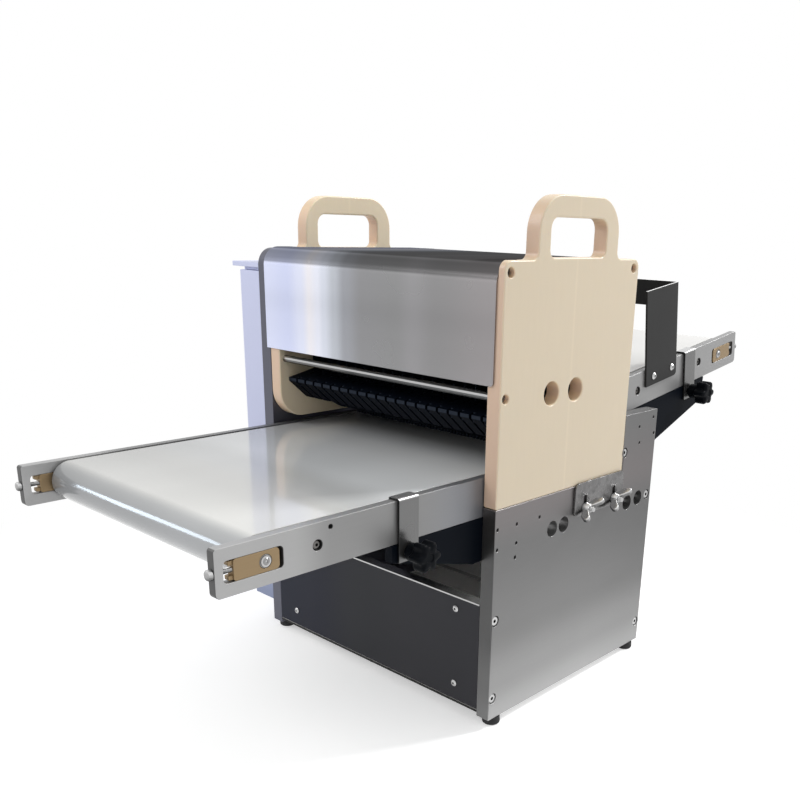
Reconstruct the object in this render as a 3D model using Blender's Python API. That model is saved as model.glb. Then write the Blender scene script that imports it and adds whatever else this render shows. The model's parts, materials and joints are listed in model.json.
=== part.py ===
"""Benchtop chicken breast slicer: a belt-fed knife cassette that lifts out of a steel base.

Metres, +Z up. Lengths are laid out in the machine's own frame: X = 0 midway between the
two steel side plates, -Y the outfeed end, Z = 0 at the lower edge of the side plates.
At the end everything hangs from one empty, which puts the middle of the machine over
the origin and its feet on Z = 0.
"""

import math

import bmesh
import bpy
from mathutils import Matrix, Vector

FIT_GAP = 0.0003
CUT_MARGIN = 0.010

# Steel side plates
PLATE_THICKNESS = 0.018
PLATE_OUTSIDE = 0.200
PLATE_FRONT = -0.160
PLATE_REAR = 0.1525
RIGHT_PLATE_STEP_Y = 0.080
RIGHT_PLATE_LOW_TOP = 0.2504
RIGHT_PLATE_HIGH_TOP = 0.3208
LEFT_PLATE_TOP = 0.500
LEFT_PLATE_CORNER = 0.020
LARGE_HOLE_RADIUS = 0.0095
TAPPED_HOLE_RADIUS = 0.0021

# Lower panels and feet
SHEET = 0.002
FRONT_PANEL_BOTTOM = 0.008
FRONT_PANEL_TOP = 0.138
REAR_PANEL_TOP = 0.250
PANEL_RETURN = 0.014
BOTTOM_PLATE_THICKNESS = 0.003
FOOT_RADIUS = 0.0105
FOOT_HEIGHT = 0.010
FOOT_INSET = 0.016
FOOT_CHAMFER = 0.002

# Conveyors: both are the same unit, one level and one tilted
RAIL_OUTSIDE = 0.181
RAIL_THICKNESS = 0.009
RAIL_HEIGHT = 0.0437
RAIL_CORNER = 0.005
RAIL_TOP_CORNER = 0.002
BELT_THICKNESS = 0.002
BELT_WIDTH = 0.337
ROLLER_RADIUS = 0.0187
SHAFT_RADIUS = 0.006
SHAFT_END_GAP = 0.0005
SHAFT_PAST_GEAR = 0.002
INNER_RAIL_END = 0.022
OUTER_RAIL_END = 0.050
SLOT_INNER = 0.0180
SLOT_OUTER = 0.0413
SLOT_HEIGHT = 0.020
SLOT_CORNER = 0.004
BLOCK_CORNER = 0.003
TENSION_BLOCK_LENGTH = 0.046
TENSION_BLOCK_REACH = 0.0317
TENSION_TRAVEL = 0.0034
TENSION_SCREW_RADIUS = 0.0025
TENSION_SCREW_TIP = 0.020
TENSION_HEAD_RADIUS = 0.0042
TENSION_HEAD_CROWN = 0.003
TENSION_HEAD_HEIGHT = 0.0045
BED_THICKNESS = 0.003
BED_FLANGE = 0.020
BED_CLEARANCE = 0.006
OUTFEED_DRIVE_Y = -0.0217
OUTFEED_DRIVE_Z = 0.2613
OUTFEED_LENGTH = 0.4146
INFEED_DRIVE_Y = 0.0510
INFEED_DRIVE_Z = 0.3322
INFEED_LENGTH = 0.2895
INFEED_TILT = math.radians(8.0)

# Knife
KNIFE_Y = -0.0519
KNIFE_Z = 0.365
BLADE_COUNT = 20
BLADE_PITCH = 0.0164
BLADE_RADIUS = 0.069
BLADE_THICKNESS = 0.001
KNIFE_END_GAP = 0.0015
JOURNAL_ROOT = 0.004
SPACER_RADIUS = 0.0165
HEX_ACROSS_FLATS = 0.022
RIGHT_JOURNAL_RADIUS = 0.0065
LEFT_JOURNAL_RADIUS = 0.009
JOURNAL_DEPTH = 0.009
DOG_WIDTH = 0.0044
DOG_HEIGHT = 0.015
DOG_LENGTH = 0.006
CHANNEL_CLEARANCE = 0.0009

# Knife cassette
CASSETTE_BOTTOM_RIGHT = RIGHT_PLATE_LOW_TOP + FIT_GAP
CASSETTE_TOP = 0.503
CASSETTE_REAR = 0.080
CASSETTE_CORNER = 0.010
LEFT_CASSETTE_BOTTOM = 0.292
LEFT_CASSETTE_STEP_Z = 0.3665
LEFT_CASSETTE_STEP_Y = 0.022
LEFT_CASSETTE_STEP_CORNER = 0.006
LEFT_CASSETTE_FRONT_CORNER = 0.035
HANDLE_FRONT = -0.108
HANDLE_REAR = 0.034
HANDLE_RISE = 0.0635
HANDLE_CORNER = 0.038
HANDLE_BAR = 0.022
HANDLE_FLARE = 0.008
HANDLE_FRONT_POST = 0.0194
HANDLE_REAR_POST = 0.0233
HANDLE_SILL = 0.002
HANDLE_HOLE_CORNER = 0.013
LEFT_HANDLE_SHIFT = -0.004
SIGHT_BORE_RADIUS = 0.013
SIGHT_BORE_SPACING = 0.0435
ROD_RADIUS = 0.0045
ROD_PLACES = {"front": (-0.151, 0.3675), "top_front": (-0.150, 0.4916), "top_rear": (0.070, 0.493)}
SCREW_POCKET_RADIUS = 0.005
SCREW_POCKET_DEPTH = 0.008

# Knife cover
COVER_SHEET = 0.0015
COVER_LEFT = -0.186
COVER_RIGHT = 0.192
COVER_BOTTOM = 0.380
COVER_BEND = 0.0205
COVER_REAR_BEND = 0.010
COVER_REAR_BOTTOM = 0.440
COVER_WIDE_END = -0.122
COVER_HEM = 0.006
COVER_HEM_INSET = 0.010

# Exit comb and cutting bed
COMB_SLOT = 0.0038
COMB_FRONT = -0.147
COMB_FRONT_BOTTOM = 0.3395
COMB_FRONT_TOP = 0.3435
COMB_TOP = 0.353
COMB_TOP_REAR = -0.100
COMB_UNDERSIDE = ((-0.120, 0.316), (-0.062, 0.318), (-0.040, 0.334))
COMB_BAR_FRONT = -0.140
COMB_BAR_BACK = -0.126
COMB_BAR_BOTTOM = 0.334
COMB_THROAT = 0.0185
BED_FRONT = -0.033
BED_REAR = 0.022
BED_BOTTOM = 0.2845
BED_FRONT_TOP = 0.290
BED_REAR_TOP = 0.350
BED_GROOVE = 0.0025
BED_GROOVE_DEPTH = 0.010
GROOVES_PER_BLADE = 3
BED_HEEL = 0.002
BED_REAR_HEIGHT = 0.0355

# Drive
GEAR_MODULE = 0.004
ROLLER_TEETH = 36
KNIFE_TEETH = 18
MOTOR_TEETH = 12
MOTOR_BEARING = math.radians(-69.6)
GEAR_FACE = 0.0075
GEAR_PLANE_A = -0.2130
GEAR_PLANE_B = -0.2260
BEARING_RADIUS = 0.016
BEARING_HEIGHT = 0.004
DRIVE_SHAFT_RADIUS = 0.008
MOTOR_RADIUS = 0.040
MOTOR_LENGTH = 0.200
MOTOR_CHAMFER = 0.008
GEARBOX_RADIUS = 0.045
GEARBOX_LENGTH = 0.062
MOTOR_FLANGE = 0.096
MOTOR_FLANGE_THICKNESS = 0.012
MOTOR_FLANGE_CORNER = 0.010
MOTOR_SHAFT_RADIUS = 0.005
MOTOR_SHAFT_CLEARANCE = 0.003
MOTOR_SHAFT_END = -0.165
COVER_DEPTH = 0.040
DRIVE_COVER_BOTTOM = 0.030
DRIVE_COVER_DROP = 0.028
DRIVE_COVER_SHEET = 0.0018
DRIVE_COVER_INSET = 0.0005
LID_OVERHANG = 0.0156
LID_GAP = 0.004
LID_HEIGHT = 0.006
LID_NECK_INSET = 0.004

# Push buttons
BUTTON_Y = -0.110
START_Z = 0.400
STOP_Z = 0.350
BUTTON_RADIUS = 0.011
BUTTON_STEM_RADIUS = 0.0075
BUTTON_STEM_LENGTH = 0.005
BUTTON_CHAMFER = 0.001
BUTTON_HEIGHT = 0.0095
BUTTON_TRAVEL = 0.003

# Rail clamps: a hooked strap, drawn in by a lobed knob whose stud enters the arm
STRAP_THICKNESS = 0.0022
STRAP_WIDTH = 0.031
STRAP_DROP = 0.0655
STRAP_LIP = 0.0028
CLAMP_BELOW_RAIL = 0.0090
ARM_THICKNESS = 0.010
OUTFEED_ARM_RUN = (0.2703, 0.0683)
OUTFEED_ARM_UNDERSIDE = ((-0.292, 0.2215), (-0.174, 0.190), (-0.090, 0.190))
INFEED_ARM_RUN = (0.2480, 0.0400)
INFEED_ARM_UNDERSIDE = ((0.296, 0.313), (0.140, 0.2563), (0.090, 0.2563))
KNOB_RADIUS = 0.016
KNOB_LOBE = 0.0022
KNOB_LOBES = 6
KNOB_HUB_RADIUS = 0.010
KNOB_STUD_LENGTH = 0.0145
KNOB_HUB_LENGTH = 0.0115
KNOB_HEAD_LENGTH = 0.0165
KNOB_EDGE = 0.0025
STUD_RADIUS = 0.003
OUTFEED_CLAMP = 0.2500
INFEED_CLAMP = 0.2050

# Infeed guard
GUARD_SHEET = 0.0025
GUARD_NEAR = 0.097
GUARD_NEAR_LEFT = 0.121
GUARD_FAR = 0.1717
GUARD_HEIGHT = 0.1195
GUARD_WALL_BOTTOM = 0.087
GUARD_RETURN = 0.004

# Cassette retainer
RETAINER_FRONT = -0.020
RETAINER_REAR = 0.080
RETAINER_BOTTOM = 0.2135
RETAINER_TOP = 0.2535
RETAINER_THICKNESS = 0.003
RETAINER_CORNER = 0.006
RETAINER_TRAVEL = 0.012
STUD_Y = (0.0, 0.060)
RETAINER_STUD_Z = 0.222
STUD_REACH = 0.0165
STUD_ROOT = 0.008
NUT_HUB_FOOT_RADIUS = 0.007
NUT_HUB_TOP_RADIUS = 0.005
NUT_HUB_LENGTH = 0.007
NUT_WING_THICKNESS = 0.003
NUT_TILT = math.radians(20)
# One wing's outline: out from the nut's axis, and along the axis from its face
NUT_WING = (
    (0.0024, 0.0008),
    (0.0054, 0.0008),
    (0.0140, 0.0050),
    (0.0165, 0.0100),
    (0.0152, 0.0140),
    (0.0116, 0.0130),
    (0.0024, 0.0060),
)

# Worked out from the values above
KNIFE_AXIS = (KNIFE_Y, KNIFE_Z)
PLATE_INSIDE = PLATE_OUTSIDE - PLATE_THICKNESS
RIGHT_INNER = PLATE_INSIDE
LEFT_INNER = -PLATE_INSIDE + PLATE_THICKNESS
PASSAGE_LEFT = LEFT_INNER + FIT_GAP
PASSAGE_RIGHT = RIGHT_INNER - FIT_GAP
PASSAGE_MIDDLE = (LEFT_INNER + RIGHT_INNER) / 2
RAIL_INSIDE = RAIL_OUTSIDE - RAIL_THICKNESS
BELT_INNER_RADIUS = ROLLER_RADIUS + FIT_GAP
BELT_OUTER_RADIUS = BELT_INNER_RADIUS + BELT_THICKNESS
SHAFT_HOLE = SHAFT_RADIUS + FIT_GAP
COVER_FRONT_CENTRE = (PLATE_FRONT + LEFT_PLATE_CORNER, LEFT_PLATE_TOP - LEFT_PLATE_CORNER)
DRIVE_COVER_TOP = LEFT_PLATE_TOP - DRIVE_COVER_DROP
LID_BOTTOM = DRIVE_COVER_TOP + LID_GAP

RIGHT_TAPPED_HOLES = (
    (-0.1555, 0.2286),
    (-0.1551, 0.2057),
    (-0.1232, 0.2282),
    (-0.1228, 0.2063),
    (-0.1240, 0.1900),
    (-0.0830, 0.2274),
    (0.116, 0.282),
    (0.113, 0.3026),
    (0.1445, 0.311),
    (0.1486, 0.290),
)
RIGHT_LARGE_HOLES = ((-0.0580, 0.2078), (-0.0360, 0.2082), (0.0980, 0.2073), (0.1230, 0.2086))


def clear_scene():
    for obj in list(bpy.data.objects):
        bpy.data.objects.remove(obj)


def new_collection(name):
    collection = bpy.data.collections.new(name)
    bpy.context.scene.collection.children.link(collection)
    return collection


clear_scene()
PARTS = new_collection("chicken_breast_slicer")
CUTTERS = new_collection("cutters")


def material(name, colour, roughness, metallic=0.0):
    made = bpy.data.materials.new(name)
    made.use_nodes = True
    shader = made.node_tree.nodes["Principled BSDF"]
    shader.inputs["Base Color"].default_value = (*colour, 1.0)
    shader.inputs["Roughness"].default_value = roughness
    shader.inputs["Metallic"].default_value = metallic
    return made


STEEL = material("brushed_steel", (0.52, 0.53, 0.55), 0.38, 0.9)
DARK_STEEL = material("dark_steel", (0.10, 0.11, 0.13), 0.40, 0.7)
COVER_STEEL = material("cover_steel", (0.62, 0.64, 0.68), 0.30, 0.9)
RAIL_ALUMINIUM = material("rail_aluminium", (0.45, 0.46, 0.48), 0.45, 0.8)
ROLLER_ALUMINIUM = material("roller_aluminium", (0.62, 0.63, 0.65), 0.35, 0.9)
NYLON = material("cream_nylon", (0.80, 0.70, 0.52), 0.50)
BELT_WHITE = material("belt_white", (0.80, 0.80, 0.78), 0.25)
BLACK_NYLON = material("black_nylon", (0.02, 0.025, 0.03), 0.45)
BLACK_PAINT = material("black_paint", (0.02, 0.02, 0.022), 0.40)
KNIFE_STEEL = material("knife_steel", (0.66, 0.67, 0.69), 0.22, 1.0)
BRASS = material("brass", (0.62, 0.45, 0.22), 0.35, 0.9)
GEAR_STEEL = material("gear_steel", (0.40, 0.40, 0.41), 0.35, 0.9)
MOTOR_GREY = material("motor_grey", (0.25, 0.27, 0.30), 0.45, 0.3)
PALE_PAINT = material("pale_paint", (0.66, 0.66, 0.74), 0.40, 0.3)
RUBBER = material("rubber", (0.02, 0.02, 0.02), 0.80)
START_GREEN = material("start_green", (0.05, 0.38, 0.12), 0.40)
STOP_RED = material("stop_red", (0.60, 0.04, 0.03), 0.40)


# Geometry helpers: each takes and gives plain (a, b) outline points

def arc(centre, radius, start, end, steps):
    """Points from angle start to end, both included, in degrees."""
    angles = [math.radians(start + (end - start) * i / steps) for i in range(steps + 1)]
    return [(centre[0] + radius * math.cos(a), centre[1] + radius * math.sin(a)) for a in angles]


def circle(centre, radius, sides=16):
    return arc(centre, radius, 0, 360 - 360 / sides, sides - 1)


def rounded(corners, steps=4):
    """Corners (a, b, radius) of a closed outline, each rounded by an arc of its radius."""
    outline = []
    for i, (a, b, radius) in enumerate(corners):
        here = Vector((a, b))
        if radius == 0:
            outline.append((a, b))
            continue
        before = Vector(corners[i - 1][:2]) - here
        after = Vector(corners[(i + 1) % len(corners)][:2]) - here
        half = before.angle(after) / 2
        reach = radius / math.tan(half)
        middle = here + (before.normalized() + after.normalized()).normalized() * (radius / math.sin(half))
        first = here + before.normalized() * reach - middle
        last = here + after.normalized() * reach - middle
        turn = first.angle_signed(last)
        for k in range(steps + 1):
            angle = math.atan2(first.y, first.x) - turn * k / steps
            outline.append((middle.x + radius * math.cos(angle), middle.y + radius * math.sin(angle)))
    return outline


def rectangle(low, high):
    return [(low[0], low[1]), (high[0], low[1]), (high[0], high[1]), (low[0], high[1])]


# Which world axes an outline's two numbers lie along when it is extruded along X, Y or Z
EXTRUDE_FRAMES = {
    "X": Matrix(((0, 0, 1), (1, 0, 0), (0, 1, 0))),
    "Y": Matrix(((0, 1, 0), (0, 0, 1), (1, 0, 0))),
    "Z": Matrix.Identity(3),
}


def prism_mesh(axis, outline, start, end, holes=()):
    """A flat outline with holes, extruded from start to end along X (outline y, z), Y (x, z) or Z (x, y)."""
    curve = bpy.data.curves.new("outline", "CURVE")
    curve.dimensions = "2D"
    curve.fill_mode = "BOTH"
    curve.extrude = (end - start) / 2
    for loop in (outline, *holes):
        points = [(b, a) for a, b in loop] if axis == "Y" else loop
        spline = curve.splines.new("POLY")
        spline.points.add(len(points) - 1)
        for point, (a, b) in zip(spline.points, points):
            point.co = (a, b, 0.0, 1.0)
        spline.use_cyclic_u = True
    guide = bpy.data.objects.new("outline", curve)
    CUTTERS.objects.link(guide)
    guide.matrix_world = EXTRUDE_FRAMES[axis].to_4x4()
    bpy.context.view_layer.update()
    mesh = bpy.data.meshes.new_from_object(guide.evaluated_get(bpy.context.evaluated_depsgraph_get()))
    shift = {"X": (1, 0, 0), "Y": (0, 1, 0), "Z": (0, 0, 1)}[axis]
    place = Matrix.Translation(Vector(shift) * (start + end) / 2) @ guide.matrix_world
    bpy.data.objects.remove(guide)
    return cleaned(mesh, place)


def cleaned(mesh, matrix):
    """The mesh moved by matrix, its loose caps welded and its faces turned outwards."""
    bm = bmesh.new()
    bm.from_mesh(mesh)
    bm.transform(matrix)
    bmesh.ops.remove_doubles(bm, verts=bm.verts, dist=1e-6)
    bmesh.ops.recalc_face_normals(bm, faces=bm.faces)
    bm.to_mesh(mesh)
    bm.free()
    return mesh


def box_mesh(low, high):
    mesh = bpy.data.meshes.new("box")
    bm = bmesh.new()
    size = Vector(high) - Vector(low)
    middle = (Vector(high) + Vector(low)) / 2
    bmesh.ops.create_cube(bm, size=1.0, matrix=Matrix.Translation(middle) @ Matrix.Diagonal((*size, 1.0)))
    bm.to_mesh(mesh)
    bm.free()
    return mesh


def turned_mesh(profile, sides=24, centre=(0.0, 0.0), axis="X"):
    """A closed solid turned about an axis. Profile points are (radius, place along the axis)."""
    sections = [[(radius, 0.0)] * sides for radius, _ in profile]
    places = [place for _, place in profile]
    return lofted_mesh(sections, places, centre, axis)


def lofted_mesh(sections, places, centre=(0.0, 0.0), axis="X"):
    """Rings about an axis, each a list of (radius, angle offset), joined in order and capped."""
    frame = EXTRUDE_FRAMES[axis]
    offset = frame @ Vector((centre[1], centre[0], 0) if axis == "Y" else (*centre, 0))
    bm = bmesh.new()
    rings = []
    for section, place in zip(sections, places):
        count = len(section)
        angles = [2 * math.pi * i / count + twist for i, (_, twist) in enumerate(section)]
        local = [Vector((r * math.cos(t), r * math.sin(t), place)) for (r, _), t in zip(section, angles)]
        rings.append([bm.verts.new(frame @ point + offset) for point in local])
    for low, high in zip(rings, rings[1:]):
        for i in range(len(low)):
            j = (i + 1) % len(low)
            bm.faces.new((low[i], low[j], high[j], high[i]))
    bm.faces.new(rings[0][::-1])
    bm.faces.new(rings[-1])
    bmesh.ops.recalc_face_normals(bm, faces=bm.faces)
    mesh = bpy.data.meshes.new("turned")
    bm.to_mesh(mesh)
    bm.free()
    return mesh


def joined_mesh(meshes):
    """One mesh that holds several closed shapes apart from each other, for a cutter."""
    bm = bmesh.new()
    for mesh in meshes:
        bm.from_mesh(mesh)
    whole = bpy.data.meshes.new("shapes")
    bm.to_mesh(whole)
    bm.free()
    return whole


def part(name, mesh, finish, smooth=35):
    """Names a mesh as one piece of the machine."""
    obj = bpy.data.objects.new(name, mesh)
    mesh.name = name
    mesh.materials.clear()
    mesh.materials.append(finish)
    mesh.shade_smooth()
    mesh.set_sharp_from_angle(angle=math.radians(smooth))
    PARTS.objects.link(obj)
    return obj


def combine(obj, mesh, operation):
    """Cuts a mesh from a piece, or joins it on."""
    tool = bpy.data.objects.new(f"{obj.name}_{operation.lower()}", mesh)
    tool.hide_render = True
    tool.display_type = "WIRE"
    CUTTERS.objects.link(tool)
    modifier = obj.modifiers.new(operation.title(), "BOOLEAN")
    modifier.operation = operation
    modifier.object = tool
    return tool


def cut(obj, *meshes):
    combine(obj, joined_mesh(meshes), "DIFFERENCE")


def join(obj, mesh):
    combine(obj, mesh, "UNION")


def rod(start, end, radius, centre, sides=16):
    return turned_mesh([(radius, start), (radius, end)], sides, centre)


# Base

def build_side_plates():
    outline = [
        (PLATE_FRONT, 0.0),
        (PLATE_REAR, 0.0),
        (PLATE_REAR, RIGHT_PLATE_HIGH_TOP),
        (RIGHT_PLATE_STEP_Y + FIT_GAP, RIGHT_PLATE_HIGH_TOP),
        (RIGHT_PLATE_STEP_Y + FIT_GAP, RIGHT_PLATE_LOW_TOP),
        (PLATE_FRONT, RIGHT_PLATE_LOW_TOP),
    ]
    holes = [circle(place, LARGE_HOLE_RADIUS, 14) for place in RIGHT_LARGE_HOLES]
    holes += [circle(place, TAPPED_HOLE_RADIUS, 6) for place in RIGHT_TAPPED_HOLES]
    right = part("side_plate_right", prism_mesh("X", outline, PLATE_INSIDE, PLATE_OUTSIDE, holes), STEEL)
    stud = (PLATE_OUTSIDE - STUD_ROOT, PLATE_OUTSIDE + STUD_REACH)
    for y in STUD_Y:
        join(right, rod(*stud, STUD_RADIUS, (y, RETAINER_STUD_Z), 12))

    outline = rounded([
        (PLATE_FRONT, 0.0, 0.0),
        (PLATE_REAR, 0.0, 0.0),
        (PLATE_REAR, LEFT_PLATE_TOP, LEFT_PLATE_CORNER),
        (PLATE_FRONT, LEFT_PLATE_TOP, LEFT_PLATE_CORNER),
    ], 6)
    left = part("side_plate_left", prism_mesh("X", outline, -PLATE_OUTSIDE, -PLATE_INSIDE), STEEL)
    low = -PLATE_OUTSIDE - CUT_MARGIN
    high = -PLATE_INSIDE + CUT_MARGIN
    bores = [rod(low, high, MOTOR_SHAFT_RADIUS + MOTOR_SHAFT_CLEARANCE, motor_axis())]
    shafts = (
        (outfeed_drive(), SHAFT_HOLE),
        (infeed_drive(), SHAFT_HOLE),
        (KNIFE_AXIS, DRIVE_SHAFT_RADIUS + FIT_GAP),
    )
    for centre, radius in shafts:
        boss = (-PLATE_OUTSIDE - BEARING_HEIGHT, -PLATE_OUTSIDE + BEARING_HEIGHT)
        join(left, rod(*boss, BEARING_RADIUS, centre, 20))
        bores.append(rod(low, high, radius, centre))
    cut(left, *bores)


def outfeed_drive():
    return (OUTFEED_DRIVE_Y, OUTFEED_DRIVE_Z)


def infeed_drive():
    return (INFEED_DRIVE_Y, INFEED_DRIVE_Z)


def motor_axis():
    distance = GEAR_MODULE * (ROLLER_TEETH + MOTOR_TEETH) / 2
    return (
        OUTFEED_DRIVE_Y + distance * math.cos(MOTOR_BEARING),
        OUTFEED_DRIVE_Z + distance * math.sin(MOTOR_BEARING),
    )


def folded_panel(face, inwards, bottom, top):
    """A channel seen from its end: a face with a return at its bottom and top."""
    back = face + inwards * PANEL_RETURN
    skin = face + inwards * SHEET
    return [
        (face, bottom),
        (back, bottom),
        (back, bottom + SHEET),
        (skin, bottom + SHEET),
        (skin, top - SHEET),
        (back, top - SHEET),
        (back, top),
        (face, top),
    ]


def build_lower_panels():
    width = PLATE_INSIDE - FIT_GAP
    front = folded_panel(PLATE_FRONT, 1, FRONT_PANEL_BOTTOM, FRONT_PANEL_TOP)
    part("front_panel", prism_mesh("X", front, -width, width), DARK_STEEL)
    rear = folded_panel(PLATE_REAR, -1, FRONT_PANEL_BOTTOM, REAR_PANEL_TOP)
    part("rear_panel", prism_mesh("X", rear, -width, width), DARK_STEEL)
    top = FRONT_PANEL_BOTTOM - FIT_GAP
    plate = box_mesh(
        (-width, PLATE_FRONT, top - BOTTOM_PLATE_THICKNESS),
        (width, PLATE_REAR, top),
    )
    part("bottom_plate", plate, DARK_STEEL)


def build_feet():
    side = PLATE_OUTSIDE - PLATE_THICKNESS / 2
    profile = [
        (FOOT_RADIUS - FOOT_CHAMFER, -FOOT_HEIGHT - FIT_GAP),
        (FOOT_RADIUS, -FOOT_HEIGHT + FOOT_CHAMFER),
        (FOOT_RADIUS - FOOT_CHAMFER / 2, -FIT_GAP),
    ]
    for x, across in ((side, "right"), (-side, "left")):
        for y, along in ((PLATE_FRONT + FOOT_INSET, "front"), (PLATE_REAR - FOOT_INSET, "rear")):
            part(f"foot_{along}_{across}", turned_mesh(profile, 12, (x, y), "Z"), RUBBER)


# Conveyors, each laid out along its own run: s outwards from the drive roller, h above it

def along_outfeed(s, h):
    return (OUTFEED_DRIVE_Y - s, OUTFEED_DRIVE_Z + h)


def along_infeed(s, h):
    run = Vector((math.cos(INFEED_TILT), math.sin(INFEED_TILT)))
    rise = Vector((-math.sin(INFEED_TILT), math.cos(INFEED_TILT)))
    place = Vector(infeed_drive()) + run * s + rise * h
    return (place.x, place.y)


CONVEYORS = {
    "outfeed": (along_outfeed, OUTFEED_LENGTH, GEAR_PLANE_A - SHAFT_PAST_GEAR),
    "infeed": (along_infeed, INFEED_LENGTH, GEAR_PLANE_B - SHAFT_PAST_GEAR),
}


def rail_outline(length):
    half = RAIL_HEIGHT / 2
    return rounded([
        (-INNER_RAIL_END, -half, 0.0),
        (length + OUTER_RAIL_END, -half, RAIL_CORNER),
        (length + OUTER_RAIL_END, half, RAIL_TOP_CORNER),
        (-INNER_RAIL_END, half, 0.0),
    ], 3)


def slot_outline(length):
    half = SLOT_HEIGHT / 2
    corners = rectangle((length - SLOT_INNER, -half), (length + SLOT_OUTER, half))
    return rounded([(s, h, SLOT_CORNER) for s, h in corners], 2)


def belt_loop(length, radius):
    inner = arc((0.0, 0.0), radius, 90, 270, 12)
    outer = arc((length, 0.0), radius, -90, 90, 12)
    return inner + outer


def bed_outline(length):
    """The slider bed's length along the conveyor, between its two rollers."""
    clear = ROLLER_RADIUS + BED_CLEARANCE
    return clear, length - clear - TENSION_TRAVEL


def build_conveyor(name):
    along, length, shaft_end = CONVEYORS[name]

    def placed(outline):
        return [along(s, h) for s, h in outline]

    holes = [placed(slot_outline(length)), circle(along(0.0, 0.0), SHAFT_HOLE)]
    for side, low, high in (("right", RAIL_INSIDE, RAIL_OUTSIDE), ("left", -RAIL_OUTSIDE, -RAIL_INSIDE)):
        rail = part(
            f"{name}_rail_{side}",
            prism_mesh("X", placed(rail_outline(length)), low, high, holes),
            RAIL_ALUMINIUM,
        )
        block = build_tension_block(name, side, low, high)
        build_tension_screw(name, side, (low + high) / 2, rail, block)

    half_belt = BELT_WIDTH / 2
    belt = prism_mesh(
        "X",
        placed(belt_loop(length, BELT_OUTER_RADIUS)),
        -half_belt,
        half_belt,
        [placed(belt_loop(length, BELT_INNER_RADIUS))],
    )
    part(f"{name}_belt", belt, BELT_WHITE)
    build_slider_bed(name)
    build_roller(name, "drive", along(0.0, 0.0), shaft_end)
    build_roller(name, "end", along(length, 0.0), -RAIL_OUTSIDE + SHAFT_END_GAP)


def build_tension_block(name, side, low, high):
    along, length, _ = CONVEYORS[name]
    half = SLOT_HEIGHT / 2 - FIT_GAP
    far = length + TENSION_BLOCK_REACH
    corners = rectangle((far - TENSION_BLOCK_LENGTH, -half), (far, half))
    outline = rounded([(*along(s, h), BLOCK_CORNER) for s, h in corners], 2)
    hole = circle(along(length, 0.0), SHAFT_HOLE)
    return part(f"{name}_block_{side}", prism_mesh("X", outline, low, high, [hole]), BRASS)


def build_tension_screw(name, side, x, rail, block):
    """A screw through the rail's end into the block, on which the block is drawn outwards."""
    length = CONVEYORS[name][1]

    def lengthwise(profile):
        return laid_along(turned_mesh(profile, 12, (x, 0.0), "Y"), name)

    tip = length + TENSION_SCREW_TIP
    head = length + OUTER_RAIL_END + FIT_GAP
    screw = [
        (TENSION_SCREW_RADIUS, tip),
        (TENSION_SCREW_RADIUS, head),
        (TENSION_HEAD_RADIUS, head),
        (TENSION_HEAD_RADIUS, head + TENSION_HEAD_CROWN),
        (TENSION_HEAD_RADIUS / 2, head + TENSION_HEAD_HEIGHT),
    ]
    part(f"{name}_tension_screw_{side}", lengthwise(screw), STEEL)
    bore = TENSION_SCREW_RADIUS + FIT_GAP
    cut(rail, lengthwise([(bore, length + TENSION_BLOCK_REACH), (bore, head + CUT_MARGIN)]))
    cut(block, lengthwise([(bore, tip - STRAP_THICKNESS), (bore, head)]))


def build_slider_bed(name):
    along, length, _ = CONVEYORS[name]
    near, far = bed_outline(length)
    width = RAIL_INSIDE - FIT_GAP
    top = BELT_INNER_RADIUS - FIT_GAP
    under = top - BED_THICKNESS
    skirt = top - BED_FLANGE
    channel = [
        (-width, skirt),
        (-width + BED_THICKNESS, skirt),
        (-width + BED_THICKNESS, under),
        (width - BED_THICKNESS, under),
        (width - BED_THICKNESS, skirt),
        (width, skirt),
        (width, top),
        (-width, top),
    ]
    mesh = prism_mesh("Y", channel, near, far)
    part(f"{name}_slider_bed", laid_along(mesh, name), STEEL)


def laid_along(mesh, name):
    """Moves a mesh laid out as (x, s, h) onto a conveyor's run."""
    along = CONVEYORS[name][0]
    start = Vector((0.0, *along(0.0, 0.0)))
    run = Vector((0.0, *along(1.0, 0.0))) - start
    rise = Vector((0.0, *along(0.0, 1.0))) - start
    matrix = Matrix.Identity(4)
    for row in range(3):
        matrix[row][1] = run[row]
        matrix[row][2] = rise[row]
        matrix[row][3] = start[row]
    return cleaned(mesh, matrix)


def build_roller(name, role, centre, shaft_end):
    half = BELT_WIDTH / 2 + SHAFT_END_GAP
    profile = [
        (SHAFT_RADIUS, shaft_end),
        (SHAFT_RADIUS, -half),
        (ROLLER_RADIUS, -half),
        (ROLLER_RADIUS, half),
        (SHAFT_RADIUS, half),
        (SHAFT_RADIUS, RAIL_OUTSIDE - SHAFT_END_GAP),
    ]
    part(f"{name}_{role}_roller", turned_mesh(profile, 18, centre), ROLLER_ALUMINIUM)


# Rail clamps

def clamp_places():
    drop = -RAIL_HEIGHT / 2 - CLAMP_BELOW_RAIL
    return (
        ("outfeed", OUTFEED_CLAMP, along_outfeed(OUTFEED_CLAMP, drop)),
        ("infeed", INFEED_CLAMP, along_infeed(INFEED_CLAMP, drop)),
    )


def build_arms():
    under = -RAIL_HEIGHT / 2 - FIT_GAP
    arms = (
        (along_outfeed, OUTFEED_ARM_RUN, OUTFEED_ARM_UNDERSIDE),
        (along_infeed, INFEED_ARM_RUN, INFEED_ARM_UNDERSIDE),
    )
    outer = PLATE_INSIDE - FIT_GAP
    for (name, _, stud), (along, (far, near), underside) in zip(clamp_places(), arms):
        outline = [along(far, under), *underside, along(near, under)]
        hole = circle(stud, STUD_RADIUS + FIT_GAP, 12)
        for side, low, holes in (("right", outer - ARM_THICKNESS, [hole]), ("left", -outer, [])):
            arm = prism_mesh("X", outline, low, low + ARM_THICKNESS, holes)
            part(f"{name}_arm_{side}", arm, BLACK_PAINT)


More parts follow.
